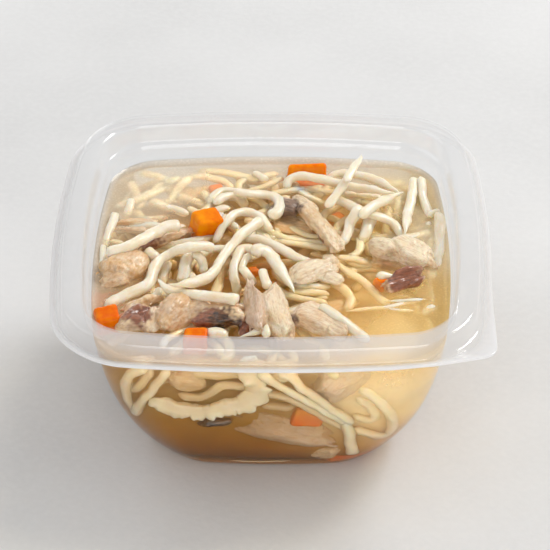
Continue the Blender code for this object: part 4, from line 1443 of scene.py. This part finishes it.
def core_material():
    s = Shade("broth_cloud")
    mottle = s.ramp(s.noise(s.place(), 90.0, 4.0), 0.35, 0.7)
    # painted light: mottled places of the cloud are brightened by up to a quarter past its colour
    colour = s.mix(s.times(mottle, 0.5), s.colour("tone"), (1.45, 1.5, 1.5), "MULTIPLY")
    return s.finish(s.principled(
        colour, 0.9, Specular_IOR_Level=0.0,
        Subsurface_Weight=0.3, Subsurface_Radius=(1.0, 0.6, 0.3), Subsurface_Scale=0.008,
    ))


def broth_material():
    """Clear amber water with a cloudy skin in places. Its shadow is that of something clear."""
    s = Shade("broth")
    swirl = s.ramp(s.noise(s.place(), 60.0), 0.3, 0.7)
    water = s.principled(
        s.mix(swirl, (0.98, 0.95, 0.88), (0.99, 0.97, 0.92)), 0.02, IOR=BROTH_IOR, Transmission_Weight=1.0,
        Specular_Tint=(0.75, 0.46, 0.20),
    )
    haze = s.principled(s.colour("tint"), 0.12, Specular_IOR_Level=0.4)
    speck = s.ramp(s.noise(s.place(), 1500.0, 2.0), 0.52, 0.66)
    body = s.blend(s.times(s.value("veil"), s.plus(s.times(speck, 0.16), 0.96)), water, haze)
    clear = s.put("BsdfTransparent", {"Color": (0.98, 0.93, 0.80)})
    amber = s.put("VolumeAbsorption", {"Color": (0.99, 0.80, 0.42), "Density": 38.0})
    cloud = s.put("VolumeScatter", {"Color": (1.0, 0.78, 0.28), "Density": 26.0, "Anisotropy": 0.5})
    surface = s.blend(s.put("LightPath", output="Is Shadow Ray"), body, clear)
    return s.finish(surface, s.put("AddShader", {0: amber, 1: cloud}))


def plastic_material():
    """Clear plastic, milkier at the rim, with a painted highlight along the lip's edge that is made nearly opaque
    white, and more gloss at a glance.
    """
    s = Shade("clear_plastic")
    milk = s.value("milk")
    veil = s.times(s.plus(s.times(milk, 0.235), 0.001), s.ramp(s.noise(s.place(), 40.0), -0.4, 0.7))
    # painted highlight: along the lip's round edge the plastic is made nearly opaque white, a bright line
    veil = s.plus(veil, s.times(s.value("bead"), 0.80))
    clear = s.put("BsdfTransparent", {"Color": (0.985, 0.99, 0.995)})
    matt = s.put("BsdfDiffuse", {"Color": (0.95, 0.95, 0.955)})
    through = s.put("BsdfTranslucent", {"Color": (0.95, 0.95, 0.955)})
    body = s.blend(veil, clear, s.blend(0.5, matt, through))
    bump = s.bump(s.noise(s.place(), 160.0, 2.0, (1, 1, 0.4)), 0.15, 0.0002)
    gloss = s.put("BsdfAnisotropic", {"Color": (1, 1, 1), "Roughness": 0.07, "Normal": bump})
    glance = s.math("POWER", s.put("LayerWeight", {"Blend": 0.5}, "Facing"), 4.0)
    edge = s.times(glance, s.plus(s.times(milk, 0.27), 0.08))
    edge = s.plus(edge, s.plus(s.times(milk, 0.05), 0.002))
    return s.finish(s.blend(edge, body, gloss))


def floor_material():
    s = Shade("floor")
    grain = s.noise(s.place(), 400.0, 4.0)
    cloud = s.noise(s.place(), 9.0, 4.0)
    base = s.mix(s.ramp(cloud, 0.35, 0.65), (0.66, 0.66, 0.655), (0.73, 0.73, 0.725))
    base = s.over(base, s.ramp(grain, 0.4, 0.7), 0.25, (0.78, 0.78, 0.775))
    return s.finish(s.principled(base, 0.75, Normal=s.bump(grain, 0.2, 0.0005)))


# ---------------------------------------------------------------- stage

FLOOR_HALF, FLOOR_HEIGHT = 3000, -0.05
SKY_COLOUR, SKY_STRENGTH = (0.985, 0.985, 1.0, 1.0), 0.50
LIGHT_TARGET_HIGH, LIGHT_TARGET_LOW = (0, 0, 0.05), (0, 0, 0.03)
LIGHTS = (  # name, place, target and size in metres, watts, colour
    ("key", (0.75, 0.65, 1.05), LIGHT_TARGET_HIGH, (0.45, 0.45), 11.5, (1.0, 0.985, 0.96)),
    ("fill", (-0.9, 0.25, 0.9), LIGHT_TARGET_HIGH, (1.0, 1.0), 2.5, (0.96, 0.98, 1.0)),
    ("front", (0.2, -1.2, 0.45), LIGHT_TARGET_LOW, (1.2, 0.8), 6.5, (1.0, 0.985, 0.96)),
    ("rim", (-0.45, 1.4, 0.5), LIGHT_TARGET_HIGH, (0.3, 0.3), 1.6, (1, 1, 1)),
)


def view_axes(ahead, roll=0.0):
    """Right and up of a view in this direction."""
    level = ahead.cross(Vector((0, 0, 1))).normalized()
    right = level * math.cos(roll) + level.cross(ahead) * math.sin(roll)
    return right, right.cross(ahead)


def put_in_scene(data, place, ahead, roll=0.0):
    """Adds a lamp or the camera at a place, looking ahead."""
    ahead = ahead.normalized()
    right, up = view_axes(ahead, roll)
    obj = bpy.data.objects.new(data.name, data)
    bpy.context.scene.collection.objects.link(obj)
    obj.matrix_world = Matrix.Translation(place) @ Matrix((right, up, -ahead)).transposed().to_4x4()
    return obj


def make_camera():
    data = bpy.data.cameras.new("camera")
    data.lens = CAMERA_LENS
    data.sensor_width = 36.0
    data.clip_start, data.clip_end = 0.02, 20.0
    ahead = Vector(-TO_EYE)
    right, up = view_axes(ahead, ROLL)
    aim = ahead + right * CAMERA_SHIFT[0] + up * CAMERA_SHIFT[1]
    place = (np.array(CAMERA_AIM) + TO_EYE * CAMERA_DISTANCE) * MM
    bpy.context.scene.camera = put_in_scene(data, place, aim, ROLL)


def make_stage():
    scene = bpy.context.scene
    world = bpy.data.worlds.new("studio")
    world.use_nodes = True
    sky = world.node_tree.nodes["Background"]
    sky.inputs["Color"].default_value = SKY_COLOUR
    sky.inputs["Strength"].default_value = SKY_STRENGTH
    scene.world = world
    scene.view_settings.view_transform = "Standard"
    scene.cycles.transparent_max_bounces = 24
    scene.cycles.volume_bounces = 3
    corners = [(x * FLOOR_HALF, y * FLOOR_HALF, FLOOR_HEIGHT) for x, y in ((-1, -1), (1, -1), (1, 1), (-1, 1))]
    floor = mesh_object("floor", corners, [(0, 1, 2, 3)])
    floor.data.materials.append(floor_material())
    for name, place, target, size, power, colour in LIGHTS:
        lamp = bpy.data.lights.new(name, "AREA")
        lamp.shape = "RECTANGLE"
        lamp.size, lamp.size_y = size
        lamp.energy = power
        lamp.color = colour
        put_in_scene(lamp, place, Vector(target) - Vector(place))


# ---------------------------------------------------------------- the whole


def hand_in(piece, material, slot, *nodes):
    piece.data.materials.append(material)
    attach(piece, "root")
    if nodes:
        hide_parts(*nodes)


def main():
    make_stage()
    make_camera()
    chunks = build_chicken()
    dice = {name: build_carrot(name, seed, *row) for seed, (name, *row) in enumerate(CARROT, 1)}
    top, sunk = build_noodles()
    build_fill(sunk)
    upper = paint_sunk(top.object("noodles_upper"), FOOD_REACH)
    lower = paint_sunk(sunk.object("noodles_sunk"), NOODLE_REACH)
    core = build_core()
    standing = np.vstack([points_of(piece) for piece in (upper, *chunks.values(), *dice.values())])
    liquid = build_broth(standing[np.abs(standing[:, 2] - LEVEL) < 0.5])

    for slot, material, pieces in (("chicken", chicken_material(), chunks), ("carrot", carrot_material(), dice)):
        for name, piece in pieces.items():
            hand_in(piece, material, slot, *({name} & set(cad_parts)))
    noodle = noodle_material()
    hand_in(upper, noodle, "noodle", "noodles")
    hand_in(lower, noodle, "noodle")
    hand_in(liquid, broth_material(), "broth", "broth")
    hand_in(core, core_material(), "broth")
    hand_in(build_tub(), plastic_material(), "clear_plastic", "tub")


main()
